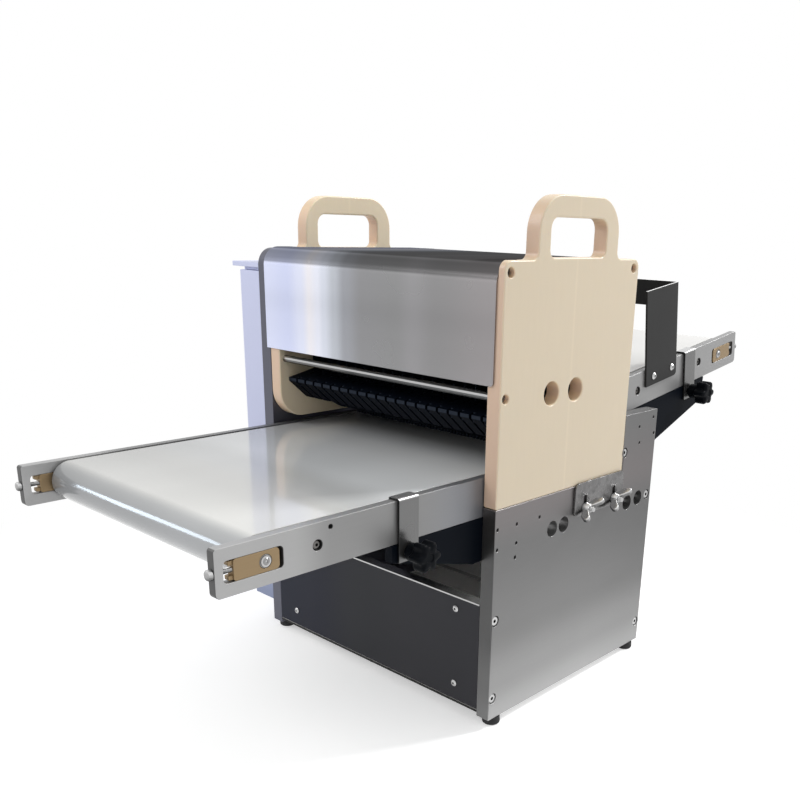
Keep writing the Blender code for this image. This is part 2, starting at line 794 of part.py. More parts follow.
def strap_mesh(name, place):
    """A strap folded over the near rail: lip inside, flat top, long leg outside."""
    outer = PLATE_INSIDE + FIT_GAP
    rail_top = RAIL_HEIGHT / 2 + FIT_GAP
    leg_bottom = rail_top + STRAP_THICKNESS - STRAP_DROP
    lip_inside = RAIL_INSIDE - FIT_GAP - STRAP_THICKNESS
    outline = [
        (lip_inside, rail_top - STRAP_LIP),
        (lip_inside + STRAP_THICKNESS, rail_top - STRAP_LIP),
        (lip_inside + STRAP_THICKNESS, rail_top),
        (outer, rail_top),
        (outer, leg_bottom),
        (outer + STRAP_THICKNESS, leg_bottom),
        (outer + STRAP_THICKNESS, rail_top + STRAP_THICKNESS),
        (lip_inside, rail_top + STRAP_THICKNESS),
    ]
    mesh = prism_mesh("Y", outline, place - STRAP_WIDTH / 2, place + STRAP_WIDTH / 2)
    return laid_along(mesh, name)


def knob_mesh(start, centre):
    """A stud, a hub and a head of six lobes, as rings of one count."""
    count = 3 * KNOB_LOBES
    head_start = KNOB_STUD_LENGTH + KNOB_HUB_LENGTH
    head_end = head_start + KNOB_HEAD_LENGTH
    mean_radius = KNOB_RADIUS - KNOB_LOBE
    steps = (
        (STUD_RADIUS, 0.0, 0.0),
        (STUD_RADIUS, 0.0, KNOB_STUD_LENGTH),
        (KNOB_HUB_RADIUS, 0.0, KNOB_STUD_LENGTH),
        (KNOB_HUB_RADIUS, 0.0, head_start),
        (mean_radius, KNOB_LOBE, head_start + KNOB_EDGE),
        (mean_radius, KNOB_LOBE, head_end - KNOB_EDGE),
        (mean_radius - KNOB_EDGE, KNOB_LOBE, head_end),
    )
    sections = []
    for mean, lobe, _ in steps:
        waves = [math.cos(KNOB_LOBES * 2 * math.pi * i / count) for i in range(count)]
        sections.append([(mean + lobe * wave, 0.0) for wave in waves])
    places = [start + reach for _, _, reach in steps]
    return lofted_mesh(sections, places, centre)


def build_clamps():
    reach = (PLATE_INSIDE - CUT_MARGIN, PLATE_INSIDE + CUT_MARGIN)
    for name, place, stud in clamp_places():
        strap = part(f"{name}_strap_right", strap_mesh(name, place), STEEL)
        cut(strap, rod(*reach, STUD_RADIUS + FIT_GAP, stud, 12))
        part(f"{name}_knob_right", knob_mesh(PLATE_INSIDE - ARM_THICKNESS, stud), BLACK_NYLON)


# Infeed guard

def build_guard():
    """One sheet bent to a U, its back cut away over the belt except for a narrow return at each side."""
    outside = RAIL_OUTSIDE + FIT_GAP + GUARD_SHEET
    inside = outside - GUARD_SHEET
    wall_near = GUARD_FAR - GUARD_SHEET
    bent = [
        (-outside, GUARD_NEAR_LEFT),
        (-inside, GUARD_NEAR_LEFT),
        (-inside, wall_near),
        (inside, wall_near),
        (inside, GUARD_NEAR),
        (outside, GUARD_NEAR),
        (outside, GUARD_FAR),
        (-outside, GUARD_FAR),
    ]
    guard = part("infeed_guard", laid_along(prism_mesh("Z", bent, 0.0, GUARD_HEIGHT), "infeed"), DARK_STEEL)
    over_rail = RAIL_HEIGHT / 2 + FIT_GAP
    narrow = inside - GUARD_RETURN
    mouth = [
        (-inside, -CUT_MARGIN),
        (inside, -CUT_MARGIN),
        (inside, over_rail),
        (narrow, over_rail),
        (narrow, GUARD_WALL_BOTTOM),
        (-narrow, GUARD_WALL_BOTTOM),
        (-narrow, over_rail),
        (-inside, over_rail),
    ]
    mouth_mesh = prism_mesh("Y", mouth, wall_near - CUT_MARGIN, GUARD_FAR + CUT_MARGIN)
    cut(guard, laid_along(mouth_mesh, "infeed"))


# Cassette retainer

def build_retainer():
    corners = rectangle((RETAINER_FRONT, RETAINER_BOTTOM), (RETAINER_REAR, RETAINER_TOP))
    outline = rounded([(y, z, RETAINER_CORNER) for y, z in corners], 4)
    slots = []
    radius = STUD_RADIUS + FIT_GAP
    for y in STUD_Y:
        low = arc((y, RETAINER_STUD_Z), radius, 180, 360, 6)
        high = arc((y, RETAINER_STUD_Z + RETAINER_TRAVEL), radius, 0, 180, 6)
        slots.append(low + high)
    start = PLATE_OUTSIDE + FIT_GAP
    part("retainer_plate", prism_mesh("X", outline, start, start + RETAINER_THICKNESS, slots), STEEL)
    for y, along in zip(STUD_Y, ("front", "rear")):
        build_wing_nut(f"wing_nut_{along}", y, start + RETAINER_THICKNESS + FIT_GAP)


def build_wing_nut(name, y, start):
    centre = (y, RETAINER_STUD_Z)
    hub_profile = [(NUT_HUB_FOOT_RADIUS, start), (NUT_HUB_TOP_RADIUS, start + NUT_HUB_LENGTH)]
    nut = part(name, turned_mesh(hub_profile, 12, centre), STEEL)
    half = NUT_WING_THICKNESS / 2
    turn = Matrix.Rotation(NUT_TILT + math.radians(90), 4, "X")
    for way in (-1, 1):
        wing = prism_mesh("Y", [(start + along, way * out) for out, along in NUT_WING], -half, half)
        join(nut, cleaned(wing, Matrix.Translation((0, *centre)) @ turn))
    cut(nut, rod(start - CUT_MARGIN, start + 2 * CUT_MARGIN, STUD_RADIUS + FIT_GAP, centre, 12))


# Knife cassette

def handle_hole(plate_top, shift=0.0):
    low = (HANDLE_FRONT + HANDLE_FRONT_POST + shift, plate_top + HANDLE_SILL)
    high = (HANDLE_REAR - HANDLE_REAR_POST + shift, plate_top + HANDLE_RISE - HANDLE_BAR)
    return rounded([(y, z, HANDLE_HOLE_CORNER) for y, z in rectangle(low, high)], 4)


def cassette_outline(lower_corners, plate_top, shift=0.0):
    front = HANDLE_FRONT + shift
    rear = HANDLE_REAR + shift
    top = plate_top + HANDLE_RISE
    return rounded([
        *lower_corners,
        (CASSETTE_REAR, plate_top, CASSETTE_CORNER),
        (rear, plate_top, HANDLE_FLARE),
        (rear, top, HANDLE_CORNER),
        (front, top, HANDLE_CORNER),
        (front, plate_top, HANDLE_FLARE),
    ], 5)


def build_right_cassette_plate():
    corners = [
        (PLATE_FRONT, CASSETTE_TOP, CASSETTE_CORNER),
        (PLATE_FRONT, CASSETTE_BOTTOM_RIGHT, 0.0),
        (CASSETTE_REAR, CASSETTE_BOTTOM_RIGHT, 0.0),
    ]
    half = SIGHT_BORE_SPACING / 2
    bores = [circle((KNIFE_Y + way * half, KNIFE_Z), SIGHT_BORE_RADIUS, 20) for way in (-1, 1)]
    mesh = prism_mesh(
        "X",
        cassette_outline(corners, CASSETTE_TOP),
        PLATE_INSIDE,
        PLATE_OUTSIDE,
        [handle_hole(CASSETTE_TOP), *bores],
    )
    plate = part("cassette_plate_right", mesh, NYLON)
    journal = (PLATE_INSIDE - CUT_MARGIN, PLATE_INSIDE + JOURNAL_DEPTH)
    pockets = [rod(*journal, RIGHT_JOURNAL_RADIUS + FIT_GAP, KNIFE_AXIS)]
    floor = PLATE_OUTSIDE - SCREW_POCKET_DEPTH
    for place in ROD_PLACES.values():
        pockets.append(rod(floor, PLATE_OUTSIDE + CUT_MARGIN, SCREW_POCKET_RADIUS, place, 12))
    cut(plate, *pockets)
    cut(plate, prism_mesh("X", cover_rebate(), PLATE_INSIDE - CUT_MARGIN, COVER_RIGHT + FIT_GAP))


def build_left_cassette_plate():
    top = LEFT_PLATE_TOP
    corners = [
        (PLATE_FRONT, top, LEFT_PLATE_CORNER),
        (PLATE_FRONT, LEFT_CASSETTE_BOTTOM, LEFT_CASSETTE_FRONT_CORNER),
        (LEFT_CASSETTE_STEP_Y, LEFT_CASSETTE_BOTTOM, 0.0),
        (LEFT_CASSETTE_STEP_Y, LEFT_CASSETTE_STEP_Z, LEFT_CASSETTE_STEP_CORNER),
        (CASSETTE_REAR, LEFT_CASSETTE_STEP_Z, 0.0),
    ]
    outer = -PLATE_INSIDE + FIT_GAP
    shift = LEFT_HANDLE_SHIFT
    outline = cassette_outline(corners, top, shift)
    plate = part(
        "cassette_plate_left",
        prism_mesh("X", outline, outer, LEFT_INNER, [handle_hole(top, shift)]),
        NYLON,
    )
    channel_radius = LEFT_JOURNAL_RADIUS + CHANNEL_CLEARANCE
    channel_floor = outer + DOG_LENGTH + CHANNEL_CLEARANCE
    below = LEFT_CASSETTE_BOTTOM - CUT_MARGIN
    channel = arc(KNIFE_AXIS, channel_radius, 0, 180, 8)
    channel += [(KNIFE_Y - channel_radius, below), (KNIFE_Y + channel_radius, below)]
    cut(plate, prism_mesh("X", channel, outer - CUT_MARGIN, channel_floor))
    through = (outer - CUT_MARGIN, LEFT_INNER + CUT_MARGIN)
    cut(plate, rod(*through, LEFT_JOURNAL_RADIUS + FIT_GAP, KNIFE_AXIS, 20))


def cover_edge(offset):
    """The cover's section, offset outwards from the sheet's inside: front, bend, top, rear bend, rear."""
    centre = COVER_FRONT_CENTRE
    radius = COVER_BEND + offset
    rear_radius = COVER_REAR_BEND + offset
    top_inside = centre[1] + COVER_BEND
    rear_inside = CASSETTE_REAR - COVER_SHEET
    rear_centre = (rear_inside - COVER_REAR_BEND, top_inside - COVER_REAR_BEND)
    front = [(centre[0] - radius, COVER_BOTTOM)] + arc(centre, radius, 180, 90, 8)
    rear = arc(rear_centre, rear_radius, 90, 0, 5) + [(rear_centre[0] + rear_radius, COVER_REAR_BOTTOM)]
    return front, rear


def cover_rebate():
    """What the right cassette plate gives up along its front and top edge, so that the cover lies in it."""
    inner = cover_edge(-FIT_GAP)[0]
    outer = cover_edge(CUT_MARGIN)[0]
    inner.append((COVER_WIDE_END + FIT_GAP, inner[-1][1]))
    outer.append((COVER_WIDE_END + FIT_GAP, outer[-1][1]))
    inner[0] = (inner[0][0], COVER_BOTTOM - FIT_GAP)
    outer[0] = (outer[0][0], COVER_BOTTOM - FIT_GAP)
    return inner + outer[::-1]


def build_cover():
    """One bent sheet. Only its front, as far as the handles, reaches out over the cassette plates' edges."""
    inner_front, inner_rear = cover_edge(0.0)
    outer_front, outer_rear = cover_edge(COVER_SHEET)
    face = inner_front[0][0]
    hem_top = COVER_BOTTOM + COVER_HEM
    hem = [(face, hem_top), (face + COVER_SHEET, hem_top), (face + COVER_SHEET, COVER_BOTTOM)]
    section = hem[::-1] + inner_front[1:] + inner_rear + (outer_front + outer_rear)[::-1]
    cover = part("knife_cover", prism_mesh("X", section, COVER_LEFT, COVER_RIGHT), COVER_STEEL)
    low = COVER_LEFT - CUT_MARGIN
    high = COVER_RIGHT + CUT_MARGIN
    over = CASSETTE_TOP + CUT_MARGIN
    under = COVER_REAR_BOTTOM - CUT_MARGIN
    rear = CASSETTE_REAR + CUT_MARGIN
    cut(
        cover,
        box_mesh((low, COVER_WIDE_END, under), (PASSAGE_LEFT, rear, over)),
        box_mesh((PASSAGE_RIGHT, COVER_WIDE_END, under), (high, rear, over)),
    )
    under = COVER_BOTTOM - CUT_MARGIN
    over = hem_top + COVER_SHEET
    cut(
        cover,
        box_mesh((low, face, under), (PASSAGE_LEFT + COVER_HEM_INSET, face + CUT_MARGIN, over)),
        box_mesh((PASSAGE_RIGHT - COVER_HEM_INSET, face, under), (high, face + CUT_MARGIN, over)),
    )


def build_tie_rods():
    for name, place in ROD_PLACES.items():
        profile = [(ROD_RADIUS, PASSAGE_LEFT), (ROD_RADIUS, PASSAGE_RIGHT)]
        part(f"tie_rod_{name}", turned_mesh(profile, 12, place), STEEL)


def blade_places():
    first = PASSAGE_MIDDLE - BLADE_PITCH * (BLADE_COUNT - 1) / 2
    return [first + BLADE_PITCH * i for i in range(BLADE_COUNT)]


def build_exit_comb():
    """Fingers that lie between the blades and strip the slices off them. A bar near their tips ties them."""
    under_shaft = arc(KNIFE_AXIS, COMB_THROAT, 320, 195, 4)
    outline = [
        (COMB_FRONT, COMB_FRONT_BOTTOM),
        *COMB_UNDERSIDE,
        *under_shaft,
        (COMB_TOP_REAR, COMB_TOP),
        (COMB_FRONT, COMB_FRONT_TOP),
    ]
    comb = part("exit_comb", prism_mesh("X", outline, PASSAGE_LEFT, PASSAGE_RIGHT), BLACK_NYLON)
    front = COMB_FRONT - CUT_MARGIN
    low = BED_BOTTOM
    high = KNIFE_Z + CUT_MARGIN
    slot = [
        (front, low),
        (0.0, low),
        (0.0, high),
        (COMB_BAR_BACK, high),
        (COMB_BAR_BACK, COMB_BAR_BOTTOM),
        (COMB_BAR_FRONT, COMB_BAR_BOTTOM),
        (COMB_BAR_FRONT, high),
        (front, high),
    ]
    half = COMB_SLOT / 2
    cut(comb, *[prism_mesh("X", slot, x - half, x + half) for x in blade_places()])


def build_cutting_bed():
    """A wedge between the two belts, grooved at a third of the blade pitch. The blades run in the grooves."""
    outline = [
        (BED_FRONT, BED_BOTTOM),
        (BED_HEEL, BED_BOTTOM),
        (BED_REAR, BED_REAR_TOP - BED_REAR_HEIGHT),
        (BED_REAR, BED_REAR_TOP),
        (BED_FRONT, BED_FRONT_TOP),
    ]
    bed = part("cutting_bed", prism_mesh("X", outline, PASSAGE_LEFT, PASSAGE_RIGHT), BLACK_NYLON)
    pitch = BLADE_PITCH / GROOVES_PER_BLADE
    slope = (BED_REAR_TOP - BED_FRONT_TOP) / (BED_REAR - BED_FRONT)
    rise = slope * CUT_MARGIN
    groove = [
        (BED_FRONT - CUT_MARGIN, BED_FRONT_TOP - BED_GROOVE_DEPTH - rise),
        (BED_REAR + CUT_MARGIN, BED_REAR_TOP - BED_GROOVE_DEPTH + rise),
        (BED_FRONT - CUT_MARGIN, BED_REAR_TOP + rise),
    ]
    half = BED_GROOVE / 2
    first = blade_places()[0] - (GROOVES_PER_BLADE - 1) * pitch
    places = [first + pitch * i for i in range(GROOVES_PER_BLADE * (BLADE_COUNT + 1))]
    inside = [x for x in places if PASSAGE_LEFT + pitch / 2 < x < PASSAGE_RIGHT - pitch / 2]
    cut(bed, *[prism_mesh("X", groove, x - half, x + half) for x in inside])


def hexagon(across_flats):
    return [(across_flats / math.sqrt(3), math.radians(30))] * 6


def build_knife():
    left = PASSAGE_LEFT + KNIFE_END_GAP
    right = PASSAGE_RIGHT - KNIFE_END_GAP
    half = BLADE_THICKNESS / 2
    profile = [(SPACER_RADIUS, left)]
    for x in blade_places():
        profile += [(SPACER_RADIUS, x - half), (BLADE_RADIUS, x - half)]
        profile += [(BLADE_RADIUS, x + half), (SPACER_RADIUS, x + half)]
    profile.append((SPACER_RADIUS, right))
    stack = part("knife_stack", turned_mesh(profile, 14, KNIFE_AXIS), KNIFE_STEEL)
    hexagons = [hexagon(HEX_ACROSS_FLATS + 2 * FIT_GAP)] * 2
    cut(stack, lofted_mesh(hexagons, (left - CUT_MARGIN, right + CUT_MARGIN), KNIFE_AXIS))

    shaft = part(
        "knife_shaft",
        lofted_mesh([hexagon(HEX_ACROSS_FLATS)] * 2, (left, right), KNIFE_AXIS),
        KNIFE_STEEL,
    )
    right_end = PLATE_INSIDE + JOURNAL_DEPTH - BLADE_THICKNESS
    join(shaft, rod(right - JOURNAL_ROOT, right_end, RIGHT_JOURNAL_RADIUS, KNIFE_AXIS))
    left_end = -PLATE_INSIDE + KNIFE_END_GAP
    join(shaft, rod(left_end, left + JOURNAL_ROOT, LEFT_JOURNAL_RADIUS, KNIFE_AXIS, 20))
    half_width = DOG_WIDTH / 2 + FIT_GAP
    half_height = LEFT_JOURNAL_RADIUS + CUT_MARGIN
    slot = box_mesh(
        (left_end - CUT_MARGIN, KNIFE_Y - half_width, KNIFE_Z - half_height),
        (-PLATE_INSIDE + DOG_LENGTH + CHANNEL_CLEARANCE, KNIFE_Y + half_width, KNIFE_Z + half_height),
    )
    cut(shaft, slot)


# Drive

def gear_outline(teeth, centre, tooth_at):
    """An involute gear, 20 degree pressure angle, with the middle of one tooth at the angle tooth_at."""
    pressure = math.radians(20)
    pitch = GEAR_MODULE * teeth / 2
    base = pitch * math.cos(pressure)
    half_tooth = 0.24 * math.pi * GEAR_MODULE / pitch

    def involute(angle):
        return math.tan(angle) - angle

    def half_angle(radius):
        at = math.acos(base / max(radius, base))
        return half_tooth + involute(pressure) - involute(at)

    radii = (pitch - 1.25 * GEAR_MODULE, pitch + 0.9 * GEAR_MODULE)
    flank = [(radius, half_angle(radius)) for radius in radii]
    outline = []
    for k in range(teeth):
        middle = tooth_at + 2 * math.pi * k / teeth
        polar = [(radius, middle - half) for radius, half in flank]
        polar += [(radius, middle + half) for radius, half in flank[::-1]]
        outline += [(centre[0] + r * math.cos(a), centre[1] + r * math.sin(a)) for r, a in polar]
    return outline


def meshed_phase(centre, teeth, tooth_at, other_centre, other_teeth):
    """Where the other gear's tooth has to be to mesh with this one at rest."""
    towards = math.atan2(other_centre[1] - centre[1], other_centre[0] - centre[0])
    pitch = 2 * math.pi / teeth
    other_pitch = 2 * math.pi / other_teeth
    share = (towards - tooth_at) / pitch
    return towards + math.pi - other_pitch * (0.5 - share)


def build_gears():
    outfeed_phase = 0.0
    knife_phase = meshed_phase(outfeed_drive(), ROLLER_TEETH, outfeed_phase, KNIFE_AXIS, KNIFE_TEETH)
    infeed_phase = meshed_phase(KNIFE_AXIS, KNIFE_TEETH, knife_phase, infeed_drive(), ROLLER_TEETH)
    motor_phase = meshed_phase(outfeed_drive(), ROLLER_TEETH, outfeed_phase, motor_axis(), MOTOR_TEETH)

    bore = [circle(outfeed_drive(), SHAFT_HOLE)]
    teeth = gear_outline(ROLLER_TEETH, outfeed_drive(), outfeed_phase)
    part("outfeed_gear", prism_mesh("X", teeth, GEAR_PLANE_A, GEAR_PLANE_A + GEAR_FACE, bore), GEAR_STEEL)

    bore = [circle(infeed_drive(), SHAFT_HOLE)]
    teeth = gear_outline(ROLLER_TEETH, infeed_drive(), infeed_phase)
    part("infeed_gear", prism_mesh("X", teeth, GEAR_PLANE_B, GEAR_PLANE_B + GEAR_FACE, bore), GEAR_STEEL)

    teeth = gear_outline(KNIFE_TEETH, KNIFE_AXIS, knife_phase)
    wide = prism_mesh("X", teeth, GEAR_PLANE_B, GEAR_PLANE_A + GEAR_FACE)
    knife_gear = part("knife_drive_gear", wide, GEAR_STEEL)
    face = -PLATE_INSIDE - FIT_GAP
    join(knife_gear, rod(GEAR_PLANE_B + GEAR_FACE / 2, face, DRIVE_SHAFT_RADIUS, KNIFE_AXIS, 20))
    tongue = box_mesh(
        (face - JOURNAL_ROOT, KNIFE_Y - DOG_WIDTH / 2, KNIFE_Z - DOG_HEIGHT / 2),
        (-PLATE_INSIDE + DOG_LENGTH, KNIFE_Y + DOG_WIDTH / 2, KNIFE_Z + DOG_HEIGHT / 2),
    )
    join(knife_gear, tongue)

    teeth = gear_outline(MOTOR_TEETH, motor_axis(), motor_phase)
    pinion = part("motor_pinion", prism_mesh("X", teeth, GEAR_PLANE_A, GEAR_PLANE_A + GEAR_FACE), GEAR_STEEL)
    join(pinion, rod(GEAR_PLANE_A + GEAR_FACE / 2, MOTOR_SHAFT_END, MOTOR_SHAFT_RADIUS, motor_axis()))


def build_motor():
    centre = motor_axis()
    face = -PLATE_INSIDE + FIT_GAP
    profile = [
        (GEARBOX_RADIUS, face + MOTOR_FLANGE_THICKNESS / 2),
        (GEARBOX_RADIUS, face + GEARBOX_LENGTH),
        (MOTOR_RADIUS, face + GEARBOX_LENGTH),
        (MOTOR_RADIUS, face + MOTOR_LENGTH - MOTOR_CHAMFER),
        (MOTOR_RADIUS - MOTOR_CHAMFER, face + MOTOR_LENGTH),
    ]
    motor = part("gear_motor", turned_mesh(profile, 24, centre), MOTOR_GREY)
    half = MOTOR_FLANGE / 2
    corners = rectangle((centre[0] - half, centre[1] - half), (centre[0] + half, centre[1] + half))
    flange = rounded([(y, z, MOTOR_FLANGE_CORNER) for y, z in corners], 3)
    join(motor, prism_mesh("X", flange, face, face + MOTOR_FLANGE_THICKNESS))
    bottom = MOTOR_SHAFT_END + FIT_GAP
    cut(motor, rod(face - CUT_MARGIN, bottom, MOTOR_SHAFT_RADIUS + FIT_GAP, centre))


def build_drive_cover():
    inner = -PLATE_OUTSIDE - FIT_GAP
    outer = -PLATE_OUTSIDE - COVER_DEPTH
    front = PLATE_FRONT + DRIVE_COVER_INSET
    rear = PLATE_REAR - DRIVE_COVER_INSET
    case = part(
        "drive_cover",
        box_mesh((outer, front, DRIVE_COVER_BOTTOM), (inner, rear, DRIVE_COVER_TOP)),
        PALE_PAINT,
    )
    wall = DRIVE_COVER_SHEET
    hollow = box_mesh(
        (outer + wall, front + wall, DRIVE_COVER_BOTTOM + wall),
        (inner + CUT_MARGIN, rear - wall, DRIVE_COVER_TOP - wall),
    )
    through = (outer - CUT_MARGIN, outer + CUT_MARGIN)
    stems = [rod(*through, BUTTON_STEM_RADIUS + FIT_GAP, (BUTTON_Y, z)) for z in (START_Z, STOP_Z)]
    cut(case, hollow)
    cut(case, *stems)
    build_lid((outer - LID_OVERHANG, PLATE_FRONT), (inner, PLATE_REAR), (outer, front), (inner, rear))


def build_lid(low, high, case_low, case_high):
    """A shallow tray upside down. A neck inside it stands on the case and leaves a shadow gap all round."""
    wall = DRIVE_COVER_SHEET
    top = LID_BOTTOM + LID_HEIGHT
    lid = part("drive_cover_lid", box_mesh((*low, LID_BOTTOM), (*high, top)), PALE_PAINT)
    cut(lid, box_mesh(
        (low[0] + wall, low[1] + wall, LID_BOTTOM - CUT_MARGIN),
        (high[0] - wall, high[1] - wall, top - wall),
    ))
    inset = LID_NECK_INSET
    outside = rectangle(
        (case_low[0] + inset, case_low[1] + inset),
        (case_high[0] - inset, case_high[1] - inset),
    )
    inset += wall
    inside = rectangle(
        (case_low[0] + inset, case_low[1] + inset),
        (case_high[0] - inset, case_high[1] - inset),
    )
    join(lid, prism_mesh("Z", outside, DRIVE_COVER_TOP + FIT_GAP, top - wall / 2, [inside]))


def build_buttons():
    wall = -PLATE_OUTSIDE - COVER_DEPTH
    face = wall - BUTTON_HEIGHT
    back = wall - BUTTON_TRAVEL - 2 * FIT_GAP
    profile = [
        (BUTTON_RADIUS - BUTTON_CHAMFER, face),
        (BUTTON_RADIUS, face + BUTTON_CHAMFER),
        (BUTTON_RADIUS, back),
        (BUTTON_STEM_RADIUS, back),
        (BUTTON_STEM_RADIUS, wall + BUTTON_STEM_LENGTH),
    ]
    for name, z, finish in (("start_button", START_Z, START_GREEN), ("stop_button", STOP_Z, STOP_RED)):
        part(name, turned_mesh(profile, 14, (BUTTON_Y, z)), finish)


def stand_on_origin():
    """Hangs every piece from one empty, which carries the middle over the origin and the feet to Z = 0."""
    bpy.context.view_layer.update()
    graph = bpy.context.evaluated_depsgraph_get()
    corners = []
    for obj in PARTS.objects:
        evaluated = obj.evaluated_get(graph)
        corners += [evaluated.matrix_world @ Vector(corner) for corner in evaluated.bound_box]
    low = Vector([min(point[k] for point in corners) for k in range(3)])
    high = Vector([max(point[k] for point in corners) for k in range(3)])
    machine = bpy.data.objects.new("machine", None)
    PARTS.objects.link(machine)
    for obj in list(PARTS.objects) + list(CUTTERS.objects):
        if obj is not machine:
            obj.parent = machine
    machine.location = (-(low.x + high.x) / 2, -(low.y + high.y) / 2, -low.z)
    bpy.context.view_layer.update()
    shift = [round(value, 6) for value in machine.location]
    print("The machine frame's zero stands at", shift)


build_side_plates()
build_lower_panels()
build_feet()
for conveyor in CONVEYORS:
    build_conveyor(conveyor)
build_arms()
build_clamps()
build_guard()
build_retainer()
build_right_cassette_plate()
build_left_cassette_plate()
build_cover()
build_tie_rods()
build_exit_comb()
build_cutting_bed()
build_knife()
build_gears()
build_motor()
build_drive_cover()
build_buttons()
stand_on_origin()
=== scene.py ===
import json
import math
from collections import namedtuple

import bmesh
import bpy
from mathutils import Matrix, Vector

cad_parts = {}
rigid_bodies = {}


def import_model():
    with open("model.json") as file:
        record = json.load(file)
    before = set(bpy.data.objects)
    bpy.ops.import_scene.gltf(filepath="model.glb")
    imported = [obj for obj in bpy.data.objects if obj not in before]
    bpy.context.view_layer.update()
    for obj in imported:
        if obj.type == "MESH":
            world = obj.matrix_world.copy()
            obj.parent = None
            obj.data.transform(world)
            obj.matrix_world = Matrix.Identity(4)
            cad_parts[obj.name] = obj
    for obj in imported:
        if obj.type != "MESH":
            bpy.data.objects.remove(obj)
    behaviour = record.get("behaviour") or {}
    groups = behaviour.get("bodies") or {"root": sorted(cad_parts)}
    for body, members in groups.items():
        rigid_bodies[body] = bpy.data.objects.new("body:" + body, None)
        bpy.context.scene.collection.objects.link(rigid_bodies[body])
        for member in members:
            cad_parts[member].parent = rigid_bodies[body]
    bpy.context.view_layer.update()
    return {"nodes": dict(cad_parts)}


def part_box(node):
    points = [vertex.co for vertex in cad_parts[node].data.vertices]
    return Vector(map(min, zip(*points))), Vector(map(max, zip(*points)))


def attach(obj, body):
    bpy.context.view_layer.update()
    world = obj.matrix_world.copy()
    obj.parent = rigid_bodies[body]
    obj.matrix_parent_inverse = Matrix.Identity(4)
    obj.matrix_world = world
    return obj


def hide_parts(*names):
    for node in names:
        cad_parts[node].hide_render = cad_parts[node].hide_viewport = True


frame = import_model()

# Lengths are metres in the machine's own frame: X = 0 between the steel side plates,
# -Y the outfeed end, Z = 0 at their lower edge. ORIGIN carries that frame into the row's.
PANEL_LOW, PANEL_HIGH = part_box("front_panel")
FRONT = -0.160
REAR = 0.1525
PANEL_BOTTOM = 0.008
ORIGIN = Vector(((PANEL_LOW.x + PANEL_HIGH.x) / 2, PANEL_LOW.y - FRONT, PANEL_LOW.z - PANEL_BOTTOM))

# GAP lies between pieces that seat on one another. OVERCUT is how far a cutter passes a face
GAP = 0.0003
OVERCUT = 0.001

OUTSIDE = 0.200
INSIDE = 0.182
NEAR_TOP = 0.2504
NEAR_REAR_TOP = 0.3208
FAR_TOP = 0.500

TILT = math.radians(8.0)
OUTFEED_DRIVE = (-0.0217, 0.2613)
INFEED_DRIVE = (0.0510, 0.3322)
OUTFEED_LENGTH = 0.4146
INFEED_LENGTH = 0.2895
BELT_HALF = 0.1685
BELTS_FROM, BELTS_TO = -0.460, 0.360
RAIL_OUT = 0.181
RAIL_IN = 0.172
RAIL_HALF = 0.02185
SHAFT_HOLE = 0.0063

KNIFE_AXIS = (-0.0519, 0.365)
COVER_LEFT, COVER_RIGHT = -0.186, 0.192
COVER_BOTTOM = 0.380
COVER_CORNER = (FRONT + 0.020, 0.480)
STUD_PLACES = {"front": (0.0, 0.222), "rear": (0.060, 0.222)}


# Camera, solved from the photograph: its place in the machine's frame and its optics in pixels
PHOTO_SIDE = 800
FOCAL = 908.164
PRINCIPAL = (477.965, 534.531)
CAMERA_PLACE = Vector((0.7843, -0.8585, 0.5346))
YAW, PITCH, ROLL = 0.7164, 0.3285, 0.0319


def add_camera():
    forward = Vector((-math.sin(YAW) * math.cos(PITCH), math.cos(YAW) * math.cos(PITCH), -math.sin(PITCH)))
    right = Vector((math.cos(YAW), math.sin(YAW), 0.0))
    up = right.cross(forward)
    rolled_right = right * math.cos(ROLL) + up * math.sin(ROLL)
    rolled_up = up * math.cos(ROLL) - right * math.sin(ROLL)
    data = bpy.data.cameras.new("camera")
    data.sensor_width = 36.0
    data.lens = FOCAL / PHOTO_SIDE * data.sensor_width
    data.shift_x = (PHOTO_SIDE / 2 - PRINCIPAL[0]) / PHOTO_SIDE
    data.shift_y = (PRINCIPAL[1] - PHOTO_SIDE / 2) / PHOTO_SIDE
    camera = bpy.data.objects.new("camera", data)
    rotation = Matrix((rolled_right, rolled_up, -forward)).transposed().to_4x4()
    camera.matrix_world = Matrix.Translation(CAMERA_PLACE + ORIGIN) @ rotation
    bpy.context.scene.collection.objects.link(camera)
    bpy.context.scene.camera = camera


# Materials

def rgb(red, green, blue):
    """An sRGB colour of 0 to 255 as the linear colour that a shader takes."""
    def linear(value):
        value /= 255
        return value / 12.92 if value <= 0.04045 else ((value + 0.055) / 1.055) ** 2.4
    return (linear(red), linear(green), linear(blue), 1.0)


def grey(value):
    return rgb(value, value, value)


def stops(*marks):
    """Colour stops from marks of (place, grey) or (place, red, green, blue)."""
    return [(mark[0], rgb(*mark[1:]) if len(mark) > 2 else grey(mark[1])) for mark in marks]


def even(count):
    """A grain that is the same along each axis."""
    return (count, count, count)


def plug(tree, node, **inputs):
    """Fills a node's inputs. One named i0, i6 and so on goes by its number, any other by its name."""
    for key, value in inputs.items():
        socket = node.inputs[int(key[1:])] if key[1:].isdigit() else node.inputs[key.replace("_", " ")]
        if isinstance(value, bpy.types.NodeSocket):
            tree.links.new(value, socket)
        else:
            socket.default_value = value


def add(tree, kind, settings=None, **inputs):
    node = tree.nodes.new("ShaderNode" + kind)
    for key, value in (settings or {}).items():
        setattr(node, key, value)
    plug(tree, node, **inputs)
    return node


def spread(tree, value, low, high, to_low=0.0, to_high=1.0):
    """A value taken from one range to another."""
    node = add(tree, "MapRange", None, Value=value, From_Min=low, From_Max=high, To_Min=to_low, To_Max=to_high)
    return node.outputs["Result"]


